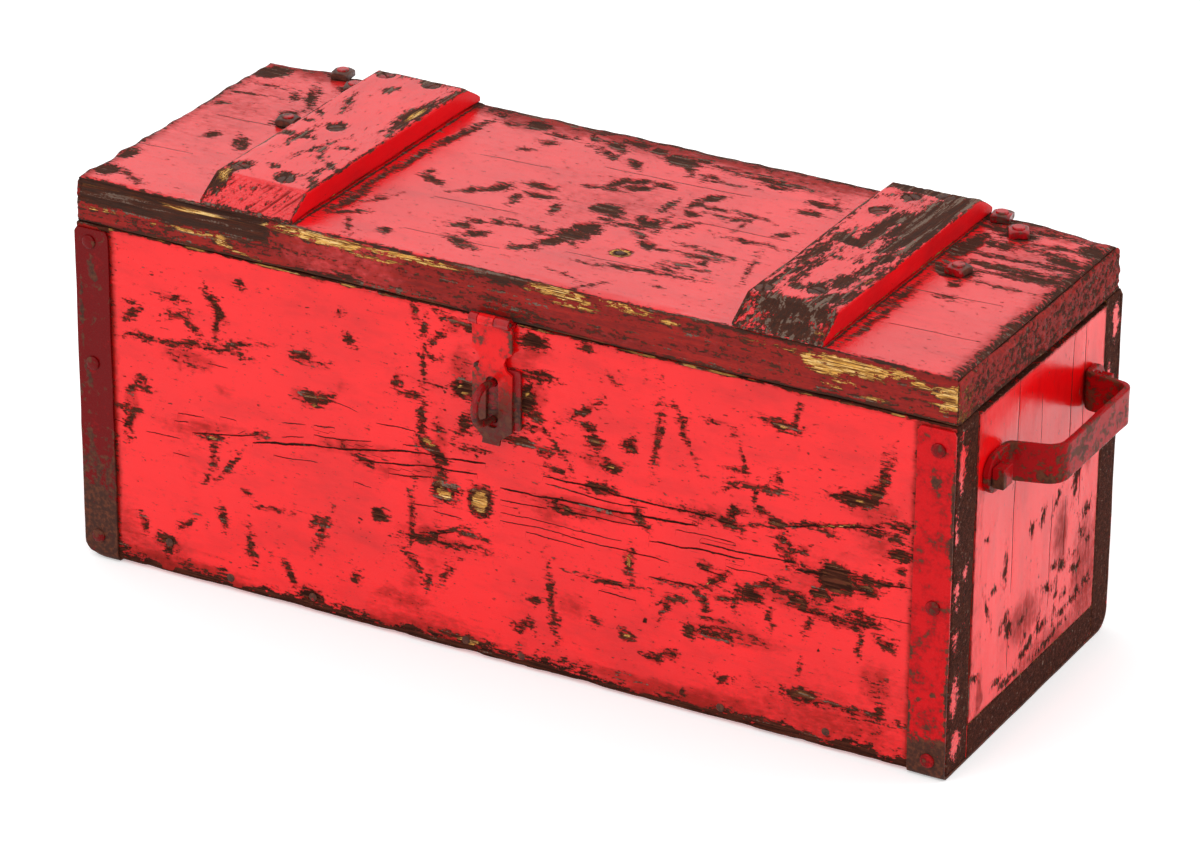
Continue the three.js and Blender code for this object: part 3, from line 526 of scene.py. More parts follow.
# A long edge at (y, z) worn to a round: how far each point outside the round moves to its surface.
# Whether the edge lies on the back and on the upper side of the board follows from its place.
def cornerRound(y, z, edgeY, edgeZ, radius):
    back, up = (1 if edgeY > 135 else -1), (1 if edgeZ > 100 else -1)
    py, pz = (y - edgeY) * back + radius, (z - edgeZ) * up + radius
    reach = np.hypot(py, pz)
    pull = np.where((py > 0) & (pz > 0) & (reach > radius), radius / np.maximum(reach, 1e-6) - 1, 0)
    return np.stack([0 * y, py * pull * back, pz * pull * up], 1)


# How far the front's lower corners are worn round in its own plane, the left one most
def footRound(x, z, share):
    radius = np.where(x < 0, chest["leftFoot"], chest["rightFoot"]) * share
    away = cornerRound(-x, z, half, 0, radius)
    return np.stack([-away[:, 1], 0 * x, away[:, 2]], 1)


frontMarks = [
    (-215, 249, 2.6, 1.8, 10), (-236, 227, 9, 2.6, -55), (-232, 219, 4, 4, 0), (-235, 212, 9, 2.2, 80),
    (-308, 205, 6.5, 2.6, 30), (-308, 213, 3, 1.2, 10), (-267, 211, 6, 1.6, 15),
    (-255, 206, 6.5, 1.2, -42), (-273, 225, 6, 1.5, 0), (-296, 188, 9, 1, 3), (-275, 188, 8, 1.3, 0),
    (-256, 192, 7, 2.2, 5), (-241, 192, 6, 1.4, 0), (-222, 193, 7, 1.1, -6), (-215, 201, 7, 1.3, 12),
    (-164, 203.5, 6.5, 3, 0), (-151, 201, 5, 0.9, 5), (-131, 244, 2, 1.4, 0), (-123, 225, 4, 2.8, -10),
    (-154, 172, 9, 4.6, -4), (-146, 175, 6, 2.4, 25), (-303, 154, 3, 1.5, 40), (-300, 147, 4, 1.7, -8),
    (-310, 143, 4.5, 1.6, 35), (-313, 127, 5.5, 1.8, 0), (-312, 119, 9, 2.4, 85),
    (-241, 119, 6.5, 2.4, 10), (-240, 109, 9, 1.8, 80), (-200, 132, 3.5, 1.8, 0),
    (-227, 100, 8, 1, 48), (-246, 85, 2.4, 1.5, 45), (-213, 83, 2.2, 1.8, 0), (-190, 74, 6, 1, 8),
    (-153, 73, 3.5, 2, 60), (-147, 68, 9, 1.5, 68), (-233, 57, 6, 2.2, -75), (-265, 45, 6, 1, 38),
    (-210, 38, 9, 2.2, -78), (-303, 34, 5, 2.2, -80), (-282, 25, 6.5, 4, -20), (-281, 20, 4, 3, 90),
    (-176, 24, 9, 2.2, -58), (-159, 11, 10, 6, 10), (-119, 36, 3.5, 2.4, 80), (-69, 260, 7, 2.2, -62),
    (-32, 259, 12, 2.2, -12), (28, 258, 11, 5, 0), (-51, 243, 6, 1.5, 48), (-61, 248, 3.5, 1.2, 80),
    (-62, 222, 9, 1.1, 88), (-56, 227, 5, 0.9, 0), (-84, 202, 5, 2.6, 80), (-72, 193, 6.5, 1.6, -6),
    (-56, 206, 6, 0.9, 0), (-51, 174, 3.5, 2, 0), (-64, 174, 12, 1.7, 86), (-59, 159, 8, 3.4, -8),
    (-50, 151, 6, 3.4, -30), (-49, 142, 9, 2.6, 90), (-50, 126, 10, 3.6, 85), (-45, 122, 8, 6, 0),
    (-39, 127, 4.5, 2.6, 0), (-16, 123.5, 12, 10, 80), (-29, 208, 10, 7, 0), (23, 212, 12, 7, 80),
    (31, 200, 4, 2.4, 0), (30, 232, 12, 3.4, 5), (36, 174, 3.4, 2.4, 0), (28, 191, 8, 1.2, 0),
    (20, 177, 20, 1, 2), (18, 180, 7, 1.8, 5), (-29, 180, 9, 2.6, 65), (-20, 163, 6, 1.3, 5),
    (67, 213, 9, 1.8, 35), (72.6, 201, 6, 2.8, 0), (78, 191.5, 6, 4, -10), (105, 196, 6, 4.2, -15),
    (89, 176, 8.5, 3.6, 6), (82, 157, 9.5, 4.4, 0), (46, 162, 5, 1.2, 0), (51, 175, 8, 0.8, -52),
    (70, 263, 4.5, 3, 0), (90, 243, 3.5, 1, -30), (-99, 92, 5, 5, 0), (-73, 98, 12, 1.2, 88),
    (-62, 83, 14, 3, 4), (-38, 83, 15, 2, 4), (-50, 90, 14, 1, 25), (-28, 94, 8, 1.2, -4),
    (-111, 132, 6, 3, 0), (-72, 61, 8, 1.8, -55), (-44, 59, 6, 1.4, 55), (-59, 48, 4, 1.6, 80),
    (52, 134, 8, 4, 0), (113, 141, 7, 3.4, -60), (105, 104, 6, 2.2, 85), (92, 86, 10, 1.2, 0),
    (105, 46, 5, 3.4, -25), (78, 52, 3, 1.6, 0), (43, 58, 14, 1.8, -82), (27, 56, 3.4, 1.8, 0),
    (24, 36, 4, 2.4, 0), (18, 32, 4, 2.6, 0), (-28, 9, 15, 4, -4), (126, 206, 13, 1.6, 85),
    (145, 224, 3.4, 1.7, 10), (148, 215, 9, 1, -65), (173, 230, 7, 0.8, 0), (222, 239.5, 11, 2.8, -2),
    (234, 249, 4, 1.4, 80), (192, 197, 5, 1, 0), (194, 203, 9, 0.9, -70), (220, 198, 3.4, 1.6, 80),
    (281, 197, 16, 5, 4), (300, 217, 12, 2.4, 74), (295, 206, 5, 3.4, 20), (203, 188, 10, 1.3, 0),
    (184, 183, 4, 1, 20), (203, 180, 5, 1, 85), (265, 173, 40, 1.1, 13), (317, 185, 7, 3, 0),
    (316, 163, 10, 4, 4), (312, 172, 6, 1, 0), (315, 151, 3.4, 2, 0), (297, 175, 10, 1.2, 4),
    (259, 167, 3.4, 1.8, 0), (183, 155, 10, 3.4, -6), (166, 157, 11, 1.3, 0), (187, 164, 6, 3, 30),
    (208, 170, 4, 2.4, 0), (219, 164, 6, 3.4, -25), (230, 141, 9, 2.6, -38), (225, 151, 6, 2, -30),
    (242, 149, 3.4, 2.4, 0), (267, 133, 14, 11, -10), (290, 138, 16, 1.8, 2), (251, 133, 10, 1.8, 0),
    (290, 130, 9, 5, 0), (202, 105, 8, 4.6, 0), (213, 115, 11, 2, 22), (229, 113, 10, 1.8, -6),
    (239, 110, 9, 4, -30), (246, 103, 13, 2.6, -8), (268, 100, 18, 2, -3), (289, 104, 11, 3.6, 4),
    (255, 118, 8, 5, 20), (283, 110, 8, 1.4, 0), (199, 99, 7, 1.2, 0), (175, 110, 7, 2.2, 45),
    (166, 117, 5, 2.4, 0), (153, 99, 13, 0.9, 8), (181, 96, 4, 2.4, 0), (190, 98, 6, 1.7, 80),
    (164, 88, 6, 1.8, -72), (139, 84, 6, 1.8, 20), (134, 79, 5, 1.2, 85), (175, 77, 6, 0.9, 0),
    (176, 71, 14, 0.9, 3), (155, 64, 5, 4.4, 0), (175, 65, 13, 2.8, 4), (139, 41, 6, 3, 20),
    (126, 34, 5, 2.6, -10), (180, 32, 4, 2, 0), (217, 92, 5, 1, 85), (246, 92, 4, 2.4, 60),
    (286, 91, 5, 1, 85), (306, 92, 5, 2.4, -15), (241, 56, 4, 1, 85), (243, 35, 12, 5, 0),
    (275, 34, 26, 1.6, -2), (303, 36, 6, 2.4, 80),
]
frontChips = [  # where clean wood shows
    (-16, 123, 10, 6, 80), (-33, 209, 5, 1.6, 20), (-28, 204, 5, 1.3, -10), (-28, 9, 13, 3, 0),
    (-154, 167, 5, 1.6, 0), (-293, 94, 3, 1.6, 60), (-291, 72, 4, 1.6, 10), (-299, 63, 3.4, 1.6, 30),
    (-218, 75, 3, 1.4, 0), (-56, 160, 7, 3, 0), (-46, 122, 7, 5, 0), (89, 176, 4, 1.6, 0),
    (105, 105, 6, 2, 85), (222, 239, 5, 1.6, 0), (281, 196, 6, 1.6, 4), (265, 173, 38, 1.2, 13),
    (215, 82, 4, 1.7, 0), (24, 217, 5, 1.6, 60), (105, 46, 4, 2, 0), (131, 125, 8, 1, 4),
    (-241, 119, 5, 1.6, 0), (178, 128, 5, 1, 0), (260, 52, 4, 1, 0), (118, 92, 3, 1, 10),
    (170, 105, 4, 1.4, 40),
]


frontWorn = [  # scuffed thin
    (27, 248, 17, 13, 0), (-36, 255, 16, 6, -8), (30, 226, 12, 8, 0), (-30, 225, 16, 30, 0),
    (30, 215, 14, 26, 0), (-47, 160, 10, 34, 0), (262, 132, 44, 20, 0), (235, 110, 60, 18, -4),
    (160, 156, 50, 10, 0), (296, 190, 30, 22, 0), (-60, 88, 40, 10, 4), (-160, 172, 20, 10, 0),
    (190, 70, 60, 14, 0), (60, 137, 70, 14, 2), (-120, 140, 60, 10, 8), (300, 60, 24, 30, 0),
    (80, 178, 30, 12, 0), (-260, 180, 40, 12, 0), (-310, 130, 10, 30, 0), (290, 25, 40, 16, 0),
    (-280, 22, 30, 8, 0), (100, 14, 80, 8, 0), (-80, 30, 40, 14, 0),
]
# Stains; the four high up between x -34 and 28 are painted shadow of the hasp and its barrel
frontStainsAndShade = [
    (-131, 188, 9, 6, 80), (-231, 160, 14, 8, 0), (-267, 175, 12, 4, 90), (-73, 45, 14, 10, 80),
    (5, 214, 34, 26, 0), (20, 240, 24, 22, 0), (40, 130, 30, 22, 0), (260, 128, 60, 36, 0),
    (210, 108, 40, 16, 0), (-60, 140, 22, 34, 90), (170, 158, 34, 14, 0), (300, 165, 26, 20, 0),
    (-95, 130, 26, 12, 0), (92, 140, 30, 14, 0), (-250, 125, 60, 16, 8), (28, 250, 24, 18, 0),
    (-34, 255, 20, 10, 0), (60, 60, 26, 16, 0), (-40, 84, 50, 12, 4), (72, 9, 20, 12, 0),
    (-159, 14, 20, 12, 0), (290, 205, 24, 12, 30),
]


frontCracks = [  # half width, then along and height
    (0.45, -259, 120, -225, 125, -200, 132), (0.3, -182, 134.5, -162, 139),
    (0.35, -155, 143, -135, 144.5, -105, 149),
    (0.8, -207, 124, -175, 130.5, -155, 134, -130, 137.5, -105, 142, -80, 147.5,
     -62, 150, -42, 151, -10, 154),
    (0.3, -155, 150.5, -135, 152.5), (0.45, -127, 137.5, -115, 140.5, -85, 146),
    (0.25, -182, 146, -160, 149),
    (0.6, -120, 131, -95, 134.5, -75, 137.5, -55, 141, -35, 142, -17, 144.5),
    (0.3, -102, 165, -67, 165.5), (0.2, -140, 174, -115, 169.5), (0.35, -80, 152.5, -60, 155.5),
    (0.4, -92, 127.5, -75, 129, -55, 132.5), (0.3, -75, 107.5, -50, 110), (0.3, -55, 106, -30, 105.5),
    (0.45, -67, 86, -50, 89, -36, 94), (0.3, -277, 99.5, -261, 100), (0.3, -330, 115, -315, 113.5),
    (0.35, -272, 132.5, -247, 134.5), (0.3, -275, 125.5, -260, 127.5), (0.3, -235, 139, -219, 139),
    (0.25, -245, 179, -225, 179), (0.3, -220, 127.5, -212, 132.5), (0.3, -122, 114, -105, 112.5),
    (0.75, 0, 138, 30, 138.7, 60, 140.5, 80, 142, 120, 143.7, 145, 145.5, 160, 147),
    (0.6, 35, 156, 60, 155.5, 80, 156, 120, 155, 140, 156, 175, 156),
    (0.4, 37, 150, 65, 148.7, 100, 148.7, 120, 151), (0.4, 40, 132.5, 80, 133.7, 120, 136),
    (0.35, 0, 128.7, 40, 130.5), (0.6, 120, 125.5, 140, 127, 160, 128.7, 197, 130),
    (0.45, 160, 133.7, 180, 134.5, 200, 135, 235, 137), (0.9, 235, 132.5, 260, 133.7),
    (0.5, 280, 136, 325, 139), (0.35, 0, 112.5, 40, 113.7, 80, 112.5, 120, 113.7, 137, 113),
    (0.25, 0, 119, 100, 120), (0.4, 120, 97.5, 160, 100), (0.35, 160, 113.7, 185, 113.7),
    (0.6, 226, 162.5, 250, 170, 280, 175, 305, 178.7), (0.4, 85, 86, 100, 85), (0.4, 80, 77, 112, 76),
    (0.3, 300, 111, 325, 112.5), (0.25, 20, 108, 70, 107), (0.25, 180, 121, 216, 122),
    (0.25, -300, 112, -268, 113), (0.25, 140, 140, 190, 141), (0.3, 255, 139, 282, 141),
    (0.25, -190, 118, -150, 121),
]


# Where paint is left on the boards' end grain: depth, height
endPaint = [
    (9, 238, 32, 7, 86), (5, 188, 22, 4, 90), (7, 140, 18, 5, 88), (19, 152, 12, 3, 90),
    (6, 104, 16, 6, 90), (10, 60, 24, 9, 88), (13, 20, 18, 11, 90), (260, 244, 22, 8, 90),
    (253, 205, 14, 4, 90),
]


# Dirt low down and at the feet, with painted contact shade
frontDirtAndShade = [(262, 10, 130, 66, 0), (-330, 20, 50, 60, 0), (120, 0, 120, 34, 0)]
frontBoard = {
    "grid": (1.75, 6, 1.75), "edge": 2.4, "extra": ((-19.3, -19.1, 13.5, 13.7), (), (265.2,)),
    "gain": {"middle": -2.8, "half": 16.4, "floor": 265.3},  # let in for the hasp's knuckles
    "hollows": (0.25, 0.3, (110, 60, 80), 5), "knocks": (0.9, 6, (16, 16, 16), 8, 0.2),
    "markDepth": 1.6, "splits": 0.5,
}


# The front board. Bare wood is the largest of its marks, scuffs, foot, strips beside the straps, worn
# edges and end grain; grime of its stains, scuffs, dirt and what lies round the marks, and painted shade
# round the hasp, beside the straps, under the lid's edge and low down. Its depth is the sum of hollows,
# marks, splits and knocks.
def frontShape(f):
    x, z = f.x, f.z
    front, inside = f.facing(y=-1), f.facing(y=1)
    ends = allMost(f.facing(x=1), f.facing(x=-1))
    u, v = ragged(f.at, x, z, 13)
    marks, chips = markField(u, v, frontMarks), markField(u, v, frontChips)
    scuffed, stainsAndShade = stainField(u, v, frontWorn), stainField(u, v, frontStainsAndShade)
    grainy, lumpy = f.noise((60, 20, 4), 11), f.noise((16, 16, 12), 12)
    kept = stainField(f.y + 2 * lumpy, z, endPaint)
    low = step(-z, -26 + 12 * np.sin(x / 37) + 8 * grainy, 2)
    beside = step(np.abs(x), 318, 326)
    bare = allMost(
        onSide(front, allMost(
            0.55 * marks + 0.03,
            -1 + 0.3 * step(grainy, 0.1, 0.8),
            1.4 * step(-z, -20 - 14 * lumpy, -1) - 1,
            0.95 * step(scuffed, 0, 0.7) * (0.75 + 0.25 * grainy) - 1,
            -1 + 0.75 * below(z, 4, 42) * step(x, 150, 280),
            -1 + beside * (0.85 + 0.3 * lumpy))),
        -0.25 + 0.5 * f.nearEdge(3.0, 0.3) + 0.35 * lumpy - 0.7 * step(f.edge, 0, 5),
        onSide(ends, 0.5 + 0.3 * grainy - 1.3 * kept),
        onSide(f.facing(z=1), 0.3 + 0.35 * grainy),
        onSide(inside, 1.2))
    belt = below(np.abs(z - 133 - 0.02 * x), 8, 44) * (0.7 + 0.25 * grainy)
    crack = onSide(front, allMost(belt, 0.25 * step(x, 120, 230) * step(z, 60, 100), 0 * x + 0.05), 0.0)
    around = step(markField(x, z, frontMarks), -0.35, 0.1)
    # Soft dirt and painted contact shade: thicker low down, and at the right-hand foot
    dirtAndShade = allMost(0.34 * step(f.noise((26, 30, 70), 17), 0.15, 1.1) * below(z, 60, 190),
                   0.62 * step(stainField(x, z, frontDirtAndShade), 0, 0.9))
    # Painted shade: under the lid's edge (z 262 to 268); dirt and painted shade: the band low down, the
    # strips beside the straps and the stains round the hasp
    grime = allMost(
        onSide(front, allMost(0.66 * stainsAndShade, 0.85 * around, 0.6 * step(scuffed, 0, 0.8), low,
                              0.9 * beside, 0.6 * step(z, 262, 268), dirtAndShade), 0),
        onSide(ends, 1 - step(kept, 0, 0.4), 0),
        0.6 * f.nearEdge(4, 0.5))
    rimGold = 0.42 * step(lumpy, -0.05, 0.5) * f.nearEdge(2.6, 1)
    golden = allMost(
        onSide(front, allMost(0.5 * step(chips, -0.05, 0.2), 0.24 * step(marks, 0, 0.25)), 0),
        onSide(inside, 0.33, 0), rimGold * (z > 260) * (np.abs(x) < 326))
    fields = {"bare": bare, "crack": crack, "grime": grime, "golden": golden}
    fields.update(crackFields(f.at, x, z, frontCracks, front))
    depth = f.hollows(*frontBoard["hollows"]) + frontBoard["markDepth"] * front * np.clip(marks, 0, 0.5)
    depth = depth + frontBoard["splits"] * splitDepth(fields) + f.knocks(*frontBoard["knocks"])
    gain = frontBoard["gain"]
    let = (np.abs(x - gain["middle"]) < gain["half"]) & (z > gain["floor"])
    shift = footRound(x, z, 1.0)
    shift[:, 2] += np.where(let, gain["floor"] - z, 0)
    return depth * (1 - 0.8 * inside), fields, shift


wornBoard("FrontBoardWorn", (-half, 0, 0), (half, chest["front"], rimTop), frontBoard, "front", frontShape,
          ["front_board"], plain=(1, -1))
print("front board")


hinges = {
    "centres": (-273, 275.5), "halfWidth": 23.3, "gainFloor": 264.2, "headFloor": 259.9, "headRoom": 9,
    "bolts": ((-12.2, 260.5), (9.9, 240.8), (1.2, 160.5)),  # across from the strap's middle, depth
}


backBoard = {
    "grid": (3.2, 2, 3.2), "edge": 2.4, "hollows": (0.25, 0.35, (110, 60, 80), 25),
    "knocks": (1.1, 7, (18, 18, 18), 28, 0.2), "markDepth": 1.4, "corner": 13,
}
gainLines = [centre + side * (hinges["halfWidth"] + more)
             for centre in hinges["centres"] for side in (-1, 1) for more in (-0.1, 0.1)]
headLines = [centre + bolt[0] + more for centre in hinges["centres"] for bolt in hinges["bolts"]
             for more in np.linspace(-9.2, 9.2, 15)]
backBoard["extra"] = (gainLines + headLines, (), (264.1, 260))


# The back board: like the front board, with the same kind of marks turned upside down
def backShape(f):
    x, y, z = f.x, f.y, f.z
    outside, inside = f.facing(y=1), f.facing(y=-1)
    ends = allMost(f.facing(x=1), f.facing(x=-1))
    grainy, scuffs = f.noise((60, 20, 5), 21), f.noise((22, 20, 9), 26)
    u, v = ragged(f.at, 30 - x, rimTop - z, 23)
    marks, kept = markField(u, v, frontMarks), stainField(y + 2 * scuffs, z, endPaint)
    bare = allMost(
        onSide(outside, allMost(0.5 * marks - 0.02,
                                -0.85 + 0.3 * step(grainy, 0.2, 0.9) + 0.35 * step(scuffs, 0.5, 1))),
        -0.1 + 0.6 * f.nearEdge(4, 0.4) + 0.3 * grainy - 0.75 * step(f.edge, 0, 6),
        onSide(ends, 0.5 + 0.3 * grainy - 1.3 * kept),
        onSide(f.facing(z=1), 0.3 + 0.35 * grainy),
        onSide(inside, 1.2))
    crack = onSide(outside, 0.35 * step(grainy, -0.2, 0.6), 0)
    low = step(-z, -34 + 12 * grainy, 0)
    grime = allMost(
        onSide(outside, allMost(low, 0.5 * step(scuffs, 0.2, 0.9), 0.9 * step(np.abs(x), 316, 328)), 0),
        onSide(ends, 1.2 - step(kept, 0, 0.4), 0),
        0.6 * f.nearEdge(6, 0.5))
    depth = f.hollows(*backBoard["hollows"]) + backBoard["markDepth"] * outside * np.clip(marks, 0, 0.5)
    depth = depth + f.knocks(*backBoard["knocks"])
    # Let in for the hinge leaves and, deeper, for their bolt heads
    floor = np.full(x.shape, np.inf)
    for centre in hinges["centres"]:
        floor = np.where(np.abs(x - centre) < hinges["halfWidth"], hinges["gainFloor"], floor)
        for across, back in hinges["bolts"]:
            near = np.hypot(x - centre - across, y - back) < hinges["headRoom"]
            floor = np.where(near, hinges["headFloor"], floor)
    shift = cornerRound(y, z, depthAll, 0, backBoard["corner"] * step(np.abs(x), 250, 320))
    shift[:, 2] += np.minimum(floor - z, 0)
    fields = {"bare": bare, "crack": crack, "grime": grime, "golden": onSide(inside, 0.33, 0)}
    return depth * (1 - 0.8 * inside), fields, shift


wornBoard("BackBoardWorn", (-half, depthAll - chest["back"], 0), (half, depthAll, rimTop), backBoard,
          "front", backShape, ["back_board"])


bottomBoard = {"grid": (4, 4, 3), "edge": 1.6, "hollows": (0.3, 0.3, (40, 30, 10), 33)}


# The bottom board: bare end grain, a scuffed underside and clean wood inside
def bottomShape(f):
    grainy = f.noise((60, 20, 8), 31)
    inside, under = f.facing(z=1), f.facing(z=-1)
    ends = allMost(f.facing(x=1), f.facing(x=-1))
    bare = allMost(onSide(ends, 0.5 + 0.3 * grainy), onSide(under, 0.16 + 0.4 * grainy),
                   onSide(inside, 1.2))
    grime = allMost(onSide(ends, 1.4, 0), onSide(under, 0.6, 0))
    fields = {"bare": bare, "crack": 0 * grainy, "grime": grime, "golden": onSide(inside, 0.33, 0)}
    return f.hollows(*bottomBoard["hollows"]), fields, 0


wornBoard("BottomBoardWorn", (-half, chest["front"], 0), (half, depthAll - chest["back"], chest["bottom"]),
          bottomBoard, "bottom", bottomShape, ["bottom_board"], slotName="worn_wood")


endMarks = [  # depth along the end, height
    (95, 72, 7, 5, -50), (90, 84, 4, 3, 0), (82, 78, 4, 2, 60), (118, 70, 6, 2, 0),
    (128, 44, 10, 4, 20), (129, 134, 6, 3, 80), (148, 138, 5, 2.6, 80), (122, 55, 4, 2, 80),
    (146, 55, 5, 2, 80), (154, 50, 6, 3, 10), (159, 77, 8, 3, -30), (173, 90, 6, 3, 0),
    (183, 85, 8, 4, -30), (172, 142, 5, 1.6, 45), (86, 125, 8, 2, 80), (68, 117, 3, 1.6, 0),
    (60, 102, 6, 1.2, -70), (205, 146, 11, 4, 70), (225, 112, 7, 4, 20), (217, 98, 9, 1.6, -60),
    (203, 74, 5, 3, 0), (212, 72, 4, 3, 60), (228, 88, 4, 2, 0), (213, 53, 6, 3, 10),
    (204, 48, 7, 3, 0), (229, 54, 7, 3.4, 0), (190, 47, 8, 3, 10), (100, 32, 12, 3, 0),
    (80, 40, 6, 3, 0), (44, 58, 7, 3, -30), (165, 34, 20, 2.4, 6), (190, 60, 4, 2, 0),
    (175, 62, 12, 1.6, 88), (197, 92, 3, 1.4, 0), (205, 86, 4, 1.2, 0), (52, 162, 2.4, 1.4, 0),
]


# Darker patches on the outsides of the ends, most of them low down and towards the back
endDarkPatches = [
    (225, 60, 90, 40, 90), (160, 26, 90, 30, 0), (212, 215, 30, 14, 90), (222, 165, 34, 14, 90),
    (50, 40, 30, 12, 90), (120, 70, 50, 30, 0), (180, 110, 50, 20, 90),
]
endSplits = [  # half width, then height and depth: they lean a little, as the grain does
    (0.4, 100, 97, 264, 99), (0.3, 40, 96, 90, 96), (0.3, 60, 162, 150, 163),
    (0.4, 150, 187, 264, 189), (0.3, 90, 186, 140, 187), (0.35, 120, 210, 264, 209),
    (0.2, 40, 212, 90, 212), (0.2, 170, 138, 240, 137),
]
endBoard = {
    "grid": (6, 1.7, 1.9), "edge": 1.2, "hollows": (0.2, 0.25, (40, 40, 90)), "markDepth": 1.2,
    "splits": 0.5, "seeds": {1: 40, -1: 60},
}


# An end board, whose grain stands upright: marks, darker patches and splits on its outside
def endShape(side):
    seeded = endBoard["seeds"][side]

    def shape(f):
        y, z = f.y, f.z
        outside, inside = f.facing(x=side), f.facing(x=-side)
        grainy = f.noise((20, 9, 70), seeded)
        u, v = ragged(f.at, y if side > 0 else depthAll - 2 - y, z, seeded + 3)
        marks, darkPatches = markField(u, v, endMarks), stainField(u, v, endDarkPatches)
        low = below(z, 20, 60 - 20 * grainy) * step(y, 90, 210)
        bare = allMost(
            onSide(outside, allMost(0.55 * marks - 0.03, -0.9 + 0.5 * step(darkPatches, 0.2, 1),
                                    -0.95 + 0.3 * step(grainy, 0.2, 0.9))),
            -0.4 + 0.45 * f.nearEdge(2.0, 0.2) - step(f.edge, 0, 4),
            onSide(inside, 1.2), onSide(f.facing(z=1), 0.3 + 0.35 * grainy))
        around = step(marks, -0.5, 0.1) * (0.6 + 0.4 * grainy)
        # Darker low down, round the marks, along the front strip and in the darker patches
        grime = allMost(
            onSide(outside, allMost(
                0.7 * low, 0.9 * around, 0.35 * below(y, 36, 60), 0.75 * step(darkPatches, 0, 0.8)), 0),
            0.8 * f.nearEdge(4, 0.3))
        fields = {"bare": bare, "crack": 0 * y, "grime": grime, "golden": onSide(inside, 0.33, 0)}
        fields.update(crackFields(f.at * (1, 1, 0.6), z, y, endSplits, outside))
        depth = f.hollows(*endBoard["hollows"], seeded + 5) + endBoard["splits"] * splitDepth(fields)
        depth = depth + endBoard["markDepth"] * outside * np.clip(marks, 0, 0.5)
        return depth * (1 - 0.8 * inside), fields, 0
    return shape


endTop = rimTop - chest["endDrop"]
for side, label in ((1, "Right"), (-1, "Left")):
    xs = sorted((side * half, side * (half - chest["end"])))
    low, high = (xs[0], chest["front"], chest["bottom"]), (xs[1], depthAll - chest["back"], endTop)
    wornBoard(f"EndBoard{label}Worn", low, high, endBoard, "end", endShape(side),
              [f"end_board_{label.lower()}"], plain=(0, 0 if side > 0 else -1))
print("body boards")


battens = {
    "height": 18, "slopes": (24, 17), "endRise": 2.5, "edge": 2.6, "grid": (1.1, 1.3, 1.6),
    "extra": ((), (22.5, 23.2, 24, 24.8, 251, 252, 253, 254, 255), ()),
    "left": {"middle": -208.4, "width": 77, "seed": 90, "chopped": -0.32, "streaks": 0.0, "gouge": 2.2,
             "sleek": 1.0},
    "right": {"middle": 216.9, "width": 70, "seed": 110, "chopped": 0.1, "streaks": 0.30, "gouge": 1.2,
              "sleek": 0.3},
}


